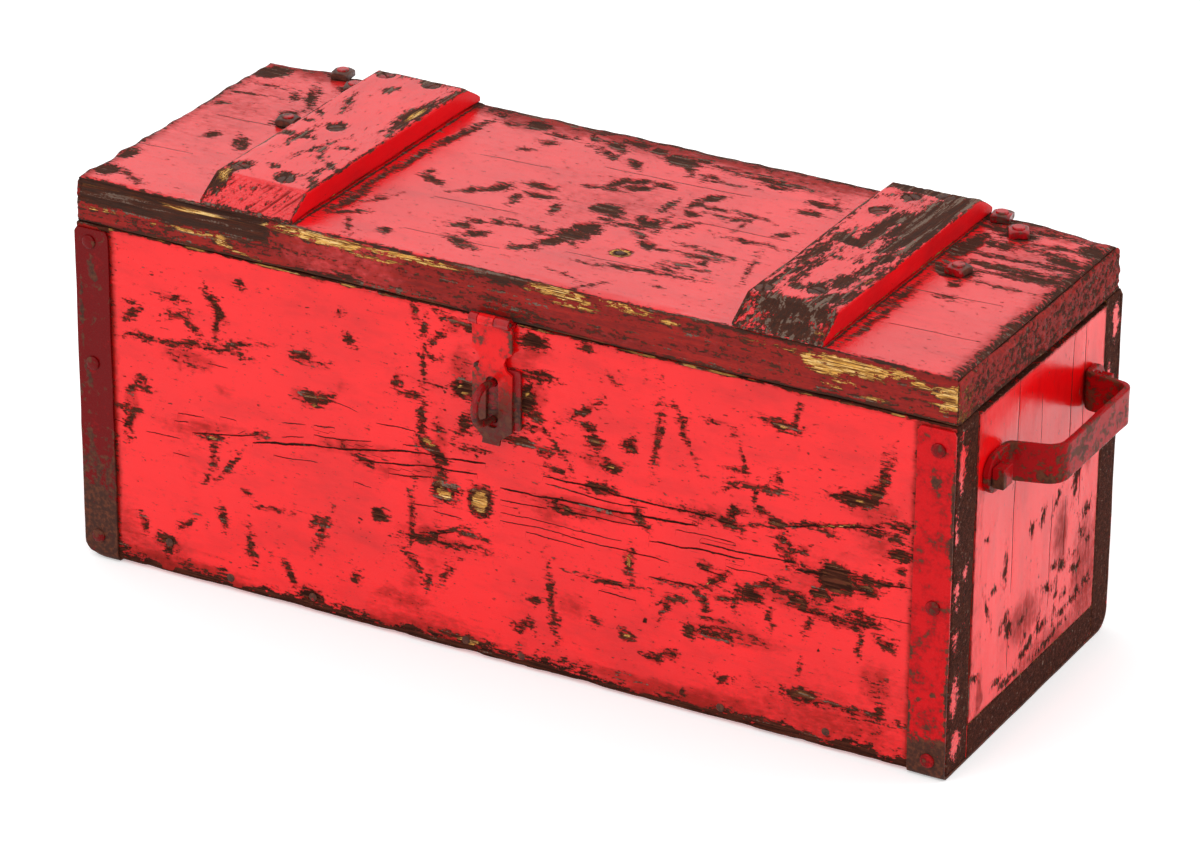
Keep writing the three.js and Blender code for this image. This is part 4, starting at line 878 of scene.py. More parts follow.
lidMarks = [  # along, depth
    (-285, 261, 13, 9, 0), (-263, 241, 13, 9, 0), (-272, 160, 12, 9, 0), (263, 261, 13, 9, 0),
    (285, 241, 13, 9, 0), (277, 160, 13, 10, 0), (-161, 100, 30, 3, 88), (-158, 60, 22, 4, 85),
    (-157, 150, 26, 3, 88), (-151, 205, 30, 4, 80), (262, 60, 30, 2.4, 88), (259, 110, 26, 3, 88),
    (-150, 40, 12, 3, 30), (-142, 70, 10, 2, 60), (-338, 243, 16, 12, 30), (-327, 218, 15, 1.6, 0),
    (-330, 197, 10, 1, 8), (-283, 212, 20, 4, -65), (-310, 115, 7, 5, 60), (-283, 112, 12, 4, -60),
    (-350, 130, 10, 4, 90), (-345, 55, 10, 7, 80), (-340, 22, 10, 8, 0), (-320, 20, 13, 2.4, -30),
    (-338, 173, 4, 2.4, 0), (-295, 208, 8, 3, -60), (-278, 170, 14, 7, -70), (-110, 249, 10, 7, 0),
    (-142, 254, 6, 5, 0), (-129, 242, 5, 3, 0), (-86, 224, 5, 3, 0), (-150, 217, 4, 3, 0),
    (-94, 205, 4, 1.8, 0), (-85, 240, 9, 3, 0), (-62, 250, 7, 3, -50), (-40, 243, 12, 5, -30),
    (-30, 255, 12, 6, 0), (-40, 228, 14, 3, -30), (-10, 250, 8, 5, 0), (-12, 220, 8, 4, -40),
    (-6, 182, 11, 5, 70), (-5, 170, 9, 3, 0), (-20, 168, 6, 3, 0), (-50, 150, 12, 5, 0),
    (-77, 134, 9, 5, 80), (-87, 122, 14, 3, 35), (-45, 134, 10, 4, 0), (-57, 121, 8, 2.6, -80),
    (-21, 120, 8, 2.4, -80), (-126, 122, 9, 4, -20), (-135, 134, 3, 2.4, 0), (-60, 71, 5, 4.4, 0),
    (-46, 77, 5, 3, 0), (-49, 52, 9, 5, 30), (-65, 59, 8, 4, 0), (-52, 34, 13, 4, -25),
    (-107, 26, 5, 4, 0), (-14, 45, 4, 3, 0), (-5, 51, 6, 2.6, 20), (-25, 80, 15, 1.4, 8),
    (-8, 76, 16, 1.6, -15), (-138, 26, 9, 1.2, -60), (2, 66, 8, 4, 80), (15, 243, 16, 9, -10),
    (30, 250, 8, 4, 0), (60, 246, 22, 1.6, 5), (92, 241, 26, 4, 0), (98, 233, 12, 3, 0),
    (30, 228, 8, 2, -50), (48, 226, 6, 3, 0), (60, 220, 10, 1.2, 5), (142, 220, 12, 5, 0),
    (140, 202, 9, 4, 0), (150, 225, 8, 1.5, -60), (5, 192, 10, 5, 20), (25, 196, 9, 4, 0),
    (12, 182, 10, 5, 30), (67, 192, 9, 5, 40), (62, 176, 8, 3, 80), (76, 177, 9, 2.4, 0),
    (109, 177, 11, 1.8, -10), (101, 167, 5, 3, 40), (47, 166, 8, 2, 85), (88, 167, 6, 1, 0),
    (66, 160, 6, 4, 0), (141, 159, 6, 3, 60), (107, 158, 5, 1.2, 85), (10, 137, 12, 9, 0),
    (19, 128, 6, 2.4, 0), (19, 119, 6, 2.4, 0), (47, 130, 12, 7, -20), (58, 134, 9, 2, -80),
    (42, 118, 14, 3, 5), (72, 137, 8, 3, 60), (120, 135, 8, 2, 0), (130, 136, 14, 1, 0),
    (15, 100, 11, 10, 0), (12, 84, 13, 9, 0), (5, 68, 12, 6, 60), (66, 95, 8, 5, -50),
    (53, 107, 6, 2.4, -30), (79, 92, 5, 2.4, 0), (114, 105, 9, 2.2, 0), (97, 107, 6, 1.6, 0),
    (108, 95, 13, 2.8, 0), (113, 85, 5, 2, 0), (103, 77, 7, 2.4, 0), (98, 70, 6, 1.6, 0),
    (98, 63, 6, 1.6, 0), (87, 54, 22, 2.2, 6), (71, 52, 6, 3, 0), (147, 97, 12, 1.3, -75),
    (120, 73, 4, 2.4, 0), (56, 74, 6, 6, 0), (285, 117, 4, 1.4, 0), (290, 119, 4, 1.4, 0),
    (316, 152, 9, 2, 0), (283, 141, 5, 4, -45), (40, 20, 6, 1, -20), (60, 8, 8, 1.4, 50),
    (45, 45, 6, 1.2, -5), (104, 36, 3, 1, 0), (350, 120, 14, 5, 80), (352, 165, 14, 6, 90),
    (348, 90, 10, 4, 90), (272, 245, 22, 5, 0), (262, 205, 26, 8, 85), (300, 252, 30, 3, 0),
    (318, 232, 26, 2.4, 3), (280, 218, 14, 5, -10), (310, 222, 26, 1.8, -4), (335, 212, 18, 7, -20),
    (300, 200, 40, 2, 2), (305, 183, 34, 4, 4), (330, 177, 22, 5, 0), (270, 160, 16, 9, -20),
    (315, 171, 30, 1.6, 0), (300, 153, 16, 1, 0), (345, 240, 12, 10, 60), (338, 200, 14, 3, 10),
    (347, 185, 12, 5, 0),
]


lidGold = [  # along the front edge, height
    (-255, 295.5, 22, 1.6, 0), (-327, 281, 13, 1.2, 0), (-260, 281, 26, 1.2, 2),
    (-220, 276.5, 17, 1.6, -22), (-148, 298.5, 38, 3.4, -3), (-72, 299, 38, 2.4, 0),
    (48, 299, 28, 4.4, -4), (103, 299.5, 23, 3, -2), (135, 297, 6, 2, 0), (220, 297, 21, 1.2, 0),
    (272, 295, 34, 6.5, -2), (255, 277, 7, 1.8, 0), (288, 276, 8, 1.4, 0), (346, 288, 11, 11, 0),
    (250, 291, 14, 7, 0), (303, 297, 14, 4, 0), (324, 292, 7, 2, 0), (262, 283, 12, 1.8, 0),
    (-100, 293, 20, 1.2, 0), (60, 292, 16, 1.4, 0),
]
lidDark = [
    (-125, 273, 15, 3, 0), (156, 280, 19, 1.2, 0), (0, 300, 26, 3, 0), (-218, 284, 22, 2.4, -12),
    (200, 303, 60, 1.6, 0), (-60, 273, 20, 1.2, 0), (80, 275, 16, 1, 0), (318, 303, 16, 2, 0),
]
lidSplits = [  # on the top: along, depth
    (0.4, -30, 205, 40, 206, 90, 209), (0.3, 60, 148, 150, 150), (0.35, -110, 96, -40, 98),
    (0.3, 20, 56, 110, 60), (0.4, -330, 150, -280, 152), (0.35, -355, 74, -300, 77),
    (0.5, 262, 196, 355, 199), (0.4, 262, 172, 350, 175), (0.35, 255, 120, 330, 124),
    (0.3, 270, 60, 340, 62), (0.3, -120, 180, -60, 183), (0.3, -100, 36, -20, 38),
]


# Dark patches on the top: stains, and painted shade in the two at the back left
lidStainsAndShade = [
    (15, 150, 130, 90, 20), (300, 215, 70, 60, 0), (-320, 170, 90, 140, 0), (-120, 262, 120, 26, 0),
]
lidBoard = {
    "grid": (1.9, 1.9, 1.9), "edge": 3.4, "hollows": (0.3, 0.35, (120, 60, 60), 80), "markDepth": 1.7,
    "knocks": (2.0, 10, (26, 26, 26), 84, 0.1), "tornFrom": 190, "nailRing": (56, 73, 8, 6.5, 20),
    "corners": {"back": 7.5, "frontLeft": 5.0, "frontRight": 4.0},
}


# The lid board. Bare wood is the largest of the marks, the nail's ring, the lines along the battens,
# the broken borders, the torn and golden places of the front edge and the rough ends.
def lidShape(f):
    x, y, z = f.x, f.y, f.z
    top, under, front, back = f.facing(z=1), f.facing(z=-1), f.facing(y=-1), f.facing(y=1)
    rightEnd = f.facing(x=1)
    ends = allMost(rightEnd, f.facing(x=-1))
    grainy, fibre, lumpy = f.noise((70, 14, 6), 71), f.noise((60, 3.2, 2.4), 75), f.noise((20, 20, 20), 78)
    u, v = ragged(f.at, x, y, 73)
    marks, ring = markField(u, v, lidMarks), markField(x, y, [lidBoard["nailRing"]])
    # The left quarter of the front edge is torn away along the grain, down to the line of a check
    tornFrom = lidBoard["tornFrom"]
    tear = step(-x, tornFrom - 4, tornFrom + 6) * step(z, 283 + 2 * grainy, 288)
    run, rise = x + 9 * f.noise((50, 50, 2.4), 83), z + 1.4 * f.noise((22, 22, 6), 85)
    gold, dark = markField(run, rise, lidGold), markField(run, rise, lidDark)
    lip = below(z, 269.5, 274)
    feet = [battens[side]["middle"] + battens[side]["width"] / 2 + 1.4 for side in ("left", "right")]
    foot = np.minimum(np.abs(x - feet[0]), np.abs(x - feet[1]))
    broken = allMost(step(np.abs(x), 340 - 7 * lumpy, 354), step(y, 252 - 10 * lumpy, 268))
    bare = allMost(
        onSide(top, allMost(
            0.5 * marks - 0.01, ring * 1.2, 0.5 - 0.45 * foot,
            -0.92 + 0.3 * step(grainy, 0.1, 0.8) + 0.16 * step(y, 215, 262),
            -0.5 + 0.8 * broken, -0.55 + 0.5 * step(-y, -6 - 3 * lumpy, -1))),
        onSide(front, allMost(
            1.3 * tear - 0.3 + 0.3 * fibre, gold * 0.6 + 0.25 * fibre, dark * 0.9,
            -0.42 + 0.4 * step(grainy, -0.3, 0.7) + 0.3 * lip)),
        onSide(ends, 0.4 * fibre - 0.05 - 0.4 * step(z, 290, 300) * step(lumpy, -0.2, 0.6)),
        onSide(back, 0.1 + 0.4 * grainy), onSide(under, 0.9),
        -0.3 + 0.65 * f.nearEdge(3.6, 0.3) + 0.4 * lumpy - step(f.edge, 0, 6) * 0.7)
    golden = allMost(
        onSide(front, allMost(
            0.8 * step(gold, -0.4, 0.3), 0.26 * tear * below(np.abs(z - 296), 1, 3.4)), 0),
        onSide(under, 0.3, 0), onSide(rightEnd, 0.34 * below(y, 8, 60), 0),
        onSide(top, 0.9 * step(ring, 0.0, 0.15) * below(ring, 0.3, 0.42), 0))
    crack = allMost(onSide(top, 0.1 + 0.2 * step(grainy, 0, 0.8), 0), onSide(front, 0.3, 0))
    around = step(markField(x, y, lidMarks), -0.4, 0.1)
    # Darker, as dirt and painted shade: the band along the back and the stains at the back left; the whole
    # front edge is darkened too, its lower lip most
    grime = allMost(
        onSide(top, allMost(
            0.95 * step(y, 226 + 14 * lumpy, 262), 0.46 * stainField(x, y, lidStainsAndShade), 0.75 * around,
            0.8 * step(np.abs(x), 330, 352)), 0),
        onSide(front, 1.05 + 0.2 * lip - 0.3 * below(np.abs(x + 130), 20, 70), 0),
        onSide(ends, 1.4, 0))
    fields = {"bare": bare, "crack": crack, "grime": grime, "golden": golden}
    fields.update(crackFields(f.at, x, y, lidSplits, top))
    depth = f.hollows(*lidBoard["hollows"]) + onSide(top, lidBoard["markDepth"] * np.clip(marks, 0, 0.5), 0)
    torn = tear * (3.2 + 1.8 * fibre) + 1.8 * np.clip(gold, 0, 0.5) * (1 + fibre)
    torn = torn + 0.5 * fibre * step(x, -190, -150)
    depth = depth + front * torn + ends * (0.7 + 0.8 * fibre) + f.knocks(*lidBoard["knocks"])
    # The back edge and the upper end edges are worn round, most of all at the corners, but not by the nuts
    radius = 6 + 2 * lumpy + 10 * step(np.abs(x), 290, 345)
    clear = 1 - step(x, 176, 184) * below(x, 250, 258) - below(x, -172, -164) * step(x, -253, -247)
    shift = cornerRound(y, z, depthAll, chest["lidTop"], np.maximum(radius * clear, 0.5))
    away = cornerRound(np.abs(x), z, half, chest["lidTop"], 8 + 3 * lumpy + 3 * step(y, 200, 260))
    shift[:, 2] = np.minimum(shift[:, 2], away[:, 2])
    shift[:, 0] = away[:, 1] * np.sign(x)
    # Its corners are round from above too
    corners = lidBoard["corners"]
    frontRadius = np.where(x < 0, corners["frontLeft"], corners["frontRight"])
    plan = cornerRound(np.abs(x), y, half, depthAll, corners["back"])
    plan = plan + cornerRound(np.abs(x), y, half, 0, frontRadius)
    shift = shift + np.stack([plan[:, 1] * np.sign(x), plan[:, 2], 0 * x], 1)
    return depth * (1 - 0.9 * under), fields, shift


wornBoard("LidBoardWorn", (-half, 0, chest["lidBottom"]), (half, depthAll, chest["lidTop"]), lidBoard,
          "lid", lidShape, ["lid_board"], body="lid", plain=(2, 0))


# Countersunk slotted screws of the battens
screws = {
    "left": ((0.338, 0.127), (-0.712, 0.145), (-0.158, 0.498), (-0.709, 0.894), (0.327, 0.89)),
    "right": ((-0.817, 0.131), (0.146, 0.181), (-0.551, 0.719), (-0.277, 0.843), (0.346, 0.89)),
    "turns": (20, 75, 130, 50, 160), "head": 6.0,
}
battenMarks = {
    "left": [
        (-216, 217, 6, 3.4, 85), (-215, 51, 4, 3.4, 0), (-177, 185, 32, 6, 88), (-229, 107, 13, 3, 86),
        (-223, 111, 4.6, 3, 0), (-206, 96, 12, 1.6, 72), (-187, 105, 4.6, 3, 0), (-199, 91, 9, 2, -70),
        (-231, 184, 7, 1.5, -65), (-228, 169, 5, 2, -60), (-240, 155, 5, 1.6, -50),
        (-240, 137, 3.4, 2.2, 0), (-241, 109, 6, 4, 0), (-241, 25, 16, 7, 80), (-235, 40, 8, 5, 60),
        (-178, 70, 8, 1.8, -40), (-175, 39, 8, 2.6, -60), (-172, 225, 22, 3.4, 80),
        (-199, 42, 6, 6, 0), (-210, 252, 40, 6, 0), (-238, 246, 8, 7, 0), (-197, 244, 7, 7, 0),
        (-182, 58, 6, 2, 80), (-216, 139, 6.5, 6.5, 0), (-196, 39, 7.5, 6.5, 80),
        (-176, 150, 12, 1.8, -70),
    ],
    "right": [
        (183, 110, 55, 3, 90), (182, 175, 14, 2, 90), (213, 165, 34, 7, 88), (205, 136, 15, 7, -10),
        (195, 140, 12, 4, 80), (193, 109, 22, 4.6, 85), (196, 80, 16, 3.4, 80), (222, 190, 14, 9, 30),
        (228, 176, 26, 5, 85), (236, 152, 24, 7, 80), (238, 195, 44, 13, 88), (248, 160, 34, 4.6, 88),
        (212, 247, 42, 12, 0), (240, 225, 26, 12, 60), (207, 229, 8, 4, 80), (203, 203, 5, 3, 60),
        (198, 195, 6, 3, 70), (207, 105, 3.4, 2.2, 0), (203, 83, 24, 1.8, 86), (202, 61, 10, 3, 80),
        (208, 49, 5, 4, 0), (222, 51, 9, 7, -50), (232, 69, 13, 6, 80), (237, 38, 14, 8, 60),
        (187, 36, 9, 6, 80), (247, 80, 26, 2.6, 88), (237, 97, 16, 4.6, 85), (239, 117, 18, 4.6, 85),
        (218, 21, 36, 9, 0), (190, 50, 24, 3, 88), (226, 6, 26, 9, -8), (196, 226, 6, 2, 30),
        (246, 50, 16, 4, 85), (224, 109, 4, 2, 80),
    ],
}


battenGold = [(-178, 185, 30, 6, 88), (-241, 25, 15, 8, 80), (247, 80, 24, 2.4, 88), (246, 8, 8, 3, 0)]


# A batten: marks and worn patches on its top, chopped slopes at its ends, and sinkings for its screws.
# Its height is scaled by how far each point lies along the slopes.
def battenShape(side):
    facts = battens[side]
    edgeX = facts["middle"] + facts["width"] / 2
    seeded, height, least = facts["seed"], battens["height"], battens["endRise"]

    def shape(f):
        x, y, z = f.x, f.y, f.z
        top = f.facing(z=1)
        ends = allMost(f.facing(y=-1), f.facing(y=1))
        sides = allMost(f.facing(x=-1), f.facing(x=1))
        slope = allMost(below(y, 22, 25), step(y, depthAll - 19, depthAll - 15)) * top
        fibre, grainy = f.noise((2.6, 50, 4), seeded), f.noise((9, 60, 9), seeded + 8)
        skewed = f.at @ np.array([[0.8, 0.6, 0], [-0.6, 0.8, 0], [0, 0, 1.0]])
        chopped = roughNoise(skewed, (3.4, 30, 6), seeded + 4)
        u, v = ragged(f.at, x, y, seeded + 2)
        marks = markField(u, v, battenMarks[side])
        around = step(markField(x, y, battenMarks[side]), -0.4, 0.1)
        rough = slope * facts["chopped"] + 0.5 * slope * chopped
        streaked = facts["streaks"] * step(x, 178, 200) * (0.4 + 0.6 * step(y, 120, 190))
        bare = allMost(
            onSide(top, allMost(
                0.6 * marks + 0.04, -0.9 + 0.3 * step(grainy, 0.1, 0.8) + 1.9 * streaked,
                -0.5 + 0.9 * step(y, 236 + 8 * grainy, 256))),
            onSide(slope, rough - 0.15), onSide(ends, 0.2 + 0.4 * fibre),
            onSide(sides, -0.72 + 0.3 * below(z, 304.5, 306)),
            -0.45 + 0.55 * f.nearEdge(4, 0.6) + 0.35 * grainy - 0.6 * step(f.edge, 0, 6))
        gold = stainField(x, y, battenGold)
        golden = allMost(0.62 * gold + 0.2 * gold * fibre,
                         0.5 * below(np.abs(x - edgeX), 0.2, 1.5) * below(np.abs(z - 306), 0.5, 1.6))
        # Darker, as dirt and painted shade: the back of the top and the hollows of the chopped slopes; as
        # painted shade: the foot of each side, in the crease against the lid
        grime = allMost(
            onSide(top, allMost(0.45 * step(y, 225, 262), 0.5 * around), 0),
            0.9 * slope * step(-chopped, 0.05, 0.6), onSide(sides, 0.55 * below(z, 304.5, 308), 0))
        depth = f.hollows(0.3, 0.4, (40, 90, 30), seeded + 12) + onSide(top, 0.8 * np.clip(marks, 0, 1), 0)
        depth = depth + slope * (0.9 + facts["gouge"] * np.abs(chopped))
        depth = depth + top * np.clip(bare, 0, 0.6) * (0.5 + 0.7 * fibre)
        depth = depth + f.knocks(0.9, 7, (16, 30, 16), seeded + 16, 0.1)
        # The screws sit in small sinkings, each with a worn and dirty ring
        head = screws["head"]
        for across, along in screws[side]:
            away = np.hypot(x - facts["middle"] - across * facts["width"] / 2, y - along * depthAll)
            depth = np.maximum(depth, 1.5 * below(away, head, head + 1.2))
            bare = np.maximum(bare, 0.6 - 0.45 * np.abs(away - head))
            grime = np.maximum(grime, below(away, head, head + 3))
        # The ends slope down to a low step
        backRun = np.clip((depthAll - y) / (battens["slopes"][1] + 5), 0, 1)
        run = np.minimum(y / battens["slopes"][0], backRun**0.8)
        rise = least + (height - least) * np.clip(run, 0, 1)
        shift = np.zeros_like(f.at)
        shift[:, 2] = (z - chest["lidTop"]) * (rise / height - 1)
        fields = {"bare": bare, "crack": onSide(top, 0.12 + 0.2 * step(grainy, 0, 0.7), 0), "grime": grime,
                  "golden": golden, "sleek": slope * facts["sleek"], "chop": slope, "calm": sides}
        return np.minimum(depth, 0.35 * rise) * (0.15 + 0.85 * top), fields, shift
    return shape


for side in ("left", "right"):
    facts = battens[side]
    low = (facts["middle"] - facts["width"] / 2, 0, chest["lidTop"])
    high = (facts["middle"] + facts["width"] / 2, depthAll, chest["lidTop"] + battens["height"])
    wornBoard(f"Batten{side.title()}Worn", low, high, battens, "batten", battenShape(side),
              [f"batten_{side}"], body="lid")
print("lid and battens")


# A path of straight runs with bent corners (a, b, bend radius), as even steps with their directions
def bentPath(corners, spacing):
    points = [np.array(corner[:2], float) for corner in corners]
    line = [points[0]]
    for i in range(1, len(points) - 1):
        before = (points[i] - points[i - 1]) / np.linalg.norm(points[i] - points[i - 1])
        after = (points[i + 1] - points[i]) / np.linalg.norm(points[i + 1] - points[i])
        turn = math.atan2(before[0] * after[1] - before[1] * after[0], before @ after)
        radius = corners[i][2]
        start = points[i] - before * radius * math.tan(abs(turn) / 2)
        normal = np.array([-before[1], before[0]]) * math.copysign(1, turn)
        centre = start + normal * radius
        for share in np.linspace(0, 1, 13):
            angle = turn * share
            spoke = start - centre
            turned = (spoke[0] * math.cos(angle) - spoke[1] * math.sin(angle),
                      spoke[0] * math.sin(angle) + spoke[1] * math.cos(angle))
            line.append(centre + turned)
    line.append(points[-1])
    line = np.array(line)
    length = np.concatenate([[0], np.cumsum(np.linalg.norm(np.diff(line, axis=0), axis=1))])
    return evenPath(line, length, spacing)


# The same line at even steps, with the way it runs at each and the length up to each
def evenPath(line, length, spacing):
    stations = np.linspace(0, length[-1], max(2, round(length[-1] / spacing)) + 1)
    at = np.stack([np.interp(stations, length, line[:, i]) for i in range(2)], 1)
    way = np.gradient(at, stations, axis=0)
    way /= np.linalg.norm(way, axis=1, keepdims=True)
    return {"at": at, "way": way, "stations": stations, "length": length[-1]}


# A flat bar carried along such a path: a box's y runs along the path and its z across it. Each point
# lies at the path's place for its y, plus its z along the path's left-hand normal there.
def followPath(points, path):
    s = np.clip(points[:, 1], 0, path["length"])
    at = np.stack([np.interp(s, path["stations"], path["at"][:, i]) for i in range(2)], 1)
    way = np.stack([np.interp(s, path["stations"], path["way"][:, i]) for i in range(2)], 1)
    way /= np.linalg.norm(way, axis=1, keepdims=True)
    return at + np.stack([-way[:, 1], way[:, 0]], 1) * points[:, 2:3]


straps = {
    "half": 15, "thickness": 2, "round": 0.42, "bends": (4.5, 14), "top": 265, "gap": 0.3, "cornerCut": 3,
    "Right": {"low": (14, 44), "grime": 0.0}, "Left": {"low": (25, 110), "grime": 0.66},
}


strapStains = {  # distance from the chest's middle, height
    "Right": [
        (327, 188, 12, 2, 90), (325, 93, 5, 3, 90), (341, 80, 6, 2.4, -40), (333, 58, 4, 3, 0),
        (346, 64, 10, 1.4, 20), (340, 225, 6, 6, 0), (354, 200, 60, 2, 90), (326, 40, 30, 3, 90),
        (354, 60, 60, 2.4, 90), (343, 20, 14, 8, 0),
    ],
    "Left": [
        (340, 70, 14, 9, 90), (345, 95, 20, 6, 80), (332, 60, 26, 6, 90), (341, 118, 14, 1.6, 0),
        (350, 200, 40, 3, 90), (341, 30, 16, 10, 0), (340, 235, 16, 6, 90), (346, 150, 16, 4, 80),
    ],
}


# The strap round one end of the body: down the front, under it and up the back. Its bare share is the
# larger of its rust and its low part on the front, and a fixed share elsewhere.
def cornerStrap(side, label):
    facts, wide, thin = straps[label], straps["half"], straps["thickness"] / 2
    middle = straps["gap"] + thin
    corners = [(-middle, straps["top"]), (-middle, -middle, straps["bends"][0]),
               (depthAll + middle, -middle, straps["bends"][1]), (depthAll + middle, straps["top"])]
    path = bentPath(corners, 2.0)
    lines = (gridLines(-wide, wide, 2.2, 0.5), gridLines(0, path["length"], 3, 0.5),
             gridLines(-thin, thin, 1, 0.45))
    sharp, faces = boxSheet(*lines)
    points = roundOff(sharp, (-wide, 0, -thin), (wide, path["length"], thin), straps["round"])[0]
    across, s = sharp[:, 0], sharp[:, 1]
    # Hammered flat: its edges wander and its face is a little dished; the top corners are cut off
    wander = 0.5 * softNoise(np.stack([np.sign(across) * 50, s, 0 * s], 1), (40, 30, 40), 120 + side)
    points[:, 0] *= 1 - 0.03 - np.abs(wander) / wide
    cut = np.clip(straps["cornerCut"] - np.minimum(s, path["length"] - s), 0, straps["cornerCut"])
    points[:, 0] = np.clip(points[:, 0], -wide + cut, wide - cut)
    sag = 0.16 * roughNoise(np.stack([across, s, 0 * s], 1), (14, 30, 30), 123 + side)
    points[:, 2] += np.clip(sag, -0.2, 0.2) * np.where(sharp[:, 2] < 0, 1, 0.2)
    flat = followPath(points, path)
    body = np.stack([side * (half - wide) + points[:, 0], flat[:, 0], flat[:, 1]], 1)
    body = body + footRound(body[:, 0], body[:, 2], below(body[:, 1], 2, 60))
    body[:, 2] = np.maximum(body[:, 2], -chest["floor"])
    x, y, z = body[:, 0], body[:, 1], body[:, 2]
    front, low = below(y, 0, 20), below(z, *facts["low"])
    rust = stainField(x * side, z, strapStains[label]) * front
    fields = {"bare": np.maximum(rust * 0.4, low * 0.4 * front) + 0.3 * (1 - front),
              "grime": facts["grime"] * front + 0.5 * low * front}
    makePiece(f"CornerStrap{label}Worn", body, [group[:, ::-1] for group in faces], "carcass",
              "painted_iron", finishes["strap"], [f"corner_strap_{label.lower()}"], fields)


for side, label in ((1, "Right"), (-1, "Left")):
    cornerStrap(side, label)

handles = {
    "height": 29, "thickness": 5, "top": 228, "reach": 40, "foot": (41, 233), "legs": (76, 87, 202, 206.5),
    "bends": (6, 14, 8, 6), "endRound": 13, "wallGap": 0.3,
    "grip": (70, 90, 60, 75),  # how far from the first foot, and from the last, the grip starts
}


# A lift handle: a flat bar bent into a bow between its two feet. Towards each end its half width falls
# by a quarter circle, and between the feet it is forged a little narrower.
def liftHandle(side, label):
    wide, thick = handles["height"] / 2, handles["thickness"] / 2
    foot, grip = half + handles["wallGap"] + thick, half + handles["reach"] - thick
    ends, legs, bends = handles["foot"], handles["legs"], handles["bends"]
    corners = [(foot, ends[0]), (foot, legs[0], bends[0]), (grip, legs[1], bends[1]),
               (grip, legs[2], bends[2]), (foot, legs[3], bends[3]), (foot, ends[1])]
    path = bentPath(corners, 1.5)
    lines = (gridLines(-wide, wide, 2.0, 1.4), gridLines(0, path["length"], 2.2, 1.4),
             gridLines(-thick, thick, 1.5, 1.2))
    sharp, faces = boxSheet(*lines)
    points, out = roundOff(sharp, (-wide, 0, -thick), (wide, path["length"], thick), 1.3)
    s, curve = sharp[:, 1], handles["endRound"]
    end = np.clip(np.minimum(s, path["length"] - s), 0, curve)
    width = wide - curve + np.sqrt(np.maximum(curve**2 - (curve - end) ** 2, 0.05))
    gripShare = step(s, *handles["grip"][:2]) * step(path["length"] - s, *handles["grip"][2:])
    points[:, 0] *= width / wide * (1 - 0.03 * gripShare)
    sides = np.where(np.abs(out[:, 2]) > 0.5, 1, 0)
    points[:, 2] += 0.25 * roughNoise(sharp, (18, 30, 9), 131 + side) * sides
    points[:, 0] += 0.35 * softNoise(sharp * (1, 1, 0), (60, 34, 9), 134 + side)
    flat = followPath(points, path)
    x = side * np.minimum(flat[:, 0], half + handles["reach"])
    z = np.minimum(handles["top"] - wide + points[:, 0], handles["top"])
    faces = faces if side > 0 else [group[:, ::-1] for group in faces]
    makePiece(f"Handle{label}Forged", np.stack([x, flat[:, 1], z], 1), faces, "carcass", "painted_iron",
              finishes["handle"], [f"handle_{label.lower()}"])


for side, label in ((1, "Right"), (-1, "Left")):
    liftHandle(side, label)
print("straps and handles")


# A profile of (radius, height) turned about its own axis, then aimed along `way` from `at`: each point
# is its radius along a spoke, plus its height along the way
def turnedSheet(profile, at, way, sides=28, up=(0, 0, 1)):
    profile = np.asarray(profile, float)
    way = np.asarray(way, float) / np.linalg.norm(way)
    across = np.cross(way, up if abs(np.dot(way, up)) < 0.9 else (1, 0, 0))
    across /= np.linalg.norm(across)
    other = np.cross(way, across)
    angle = np.arange(sides) * 2 * math.pi / sides
    ring = np.cos(angle)[:, None] * across + np.sin(angle)[:, None] * other
    inner = profile[1:-1]
    rings = inner[:, 0, None, None] * ring[None] + inner[:, 1, None, None] * way
    points = [[profile[0, 1] * way], rings.reshape(-1, 3), [profile[-1, 1] * way]]
    points = np.concatenate(points) + np.asarray(at)
    first = 1 + np.arange(sides)
    after = np.roll(np.arange(sides), -1) + 1
    quads = []
    for i in range(len(inner) - 1):
        here, above = i * sides, (i + 1) * sides
        quads.append(np.stack([first + here, after + here, after + above, first + above], 1))
    last = 1 + (len(inner) - 1) * sides
    low = np.stack([np.zeros(sides, int), after, first], 1)
    high = np.stack([np.full(sides, len(points) - 1), first - 1 + last, after - 1 + last], 1)
    return points, [np.concatenate(quads), low, high]


# Several sheets as one: their points in a row, their faces counted on from those before
def joined(parts):
    points, groups, start = [], [], 0
    for part, faces in parts:
        points.append(part)
        groups += [group + start for group in faces]
        start += len(part)
    return np.concatenate(points), groups


# A nail: its shank below 0, a rolled rim from 0 up, and a low dome over it. The dome's height at each
# share of the radius is its whole height times the root of 1 less the share squared.
def headProfile(radius, height, rim, shank, length):
    profile = [(0, -length), (shank, -length + shank), (shank, 0), (radius * 0.96, 0),
               (radius, rim * 0.4), (radius * 0.985, rim)]
    for share in (0.93, 0.8, 0.62, 0.4, 0.2):
        profile.append((radius * share, rim + (height - rim) * math.sqrt(1 - share**2)))
    return profile + [(0, height)]


strapNails = {
    "inset": 13.2, "head": (5.5, 2.2, 0.8, 2, 30), "face": -2.35,
    "left": {"side": -1, "dark": 0.9, "places": (0.063, 0.59, 0.951)},
    "right": {"side": 1, "dark": 0.35, "places": (0.045, 0.487, 0.931)},
}
for label in ("left", "right"):
    facts = strapNails[label]
    for i, share in enumerate(facts["places"]):
        at = (facts["side"] * (half - strapNails["inset"]), strapNails["face"], share * rimTop)
        points, faces = turnedSheet(headProfile(*strapNails["head"]), at, (0, -1, 0))
        dark = np.full(len(points), facts["dark"])
        makePiece(f"StrapNail{label.title()}{i + 1}", points, faces, "carcass", "rusty_iron",
                  finishes["strap"], [f"strap_nail_{label}_{i + 1}"], {"grime": dark, "bare": 0.12 * dark})

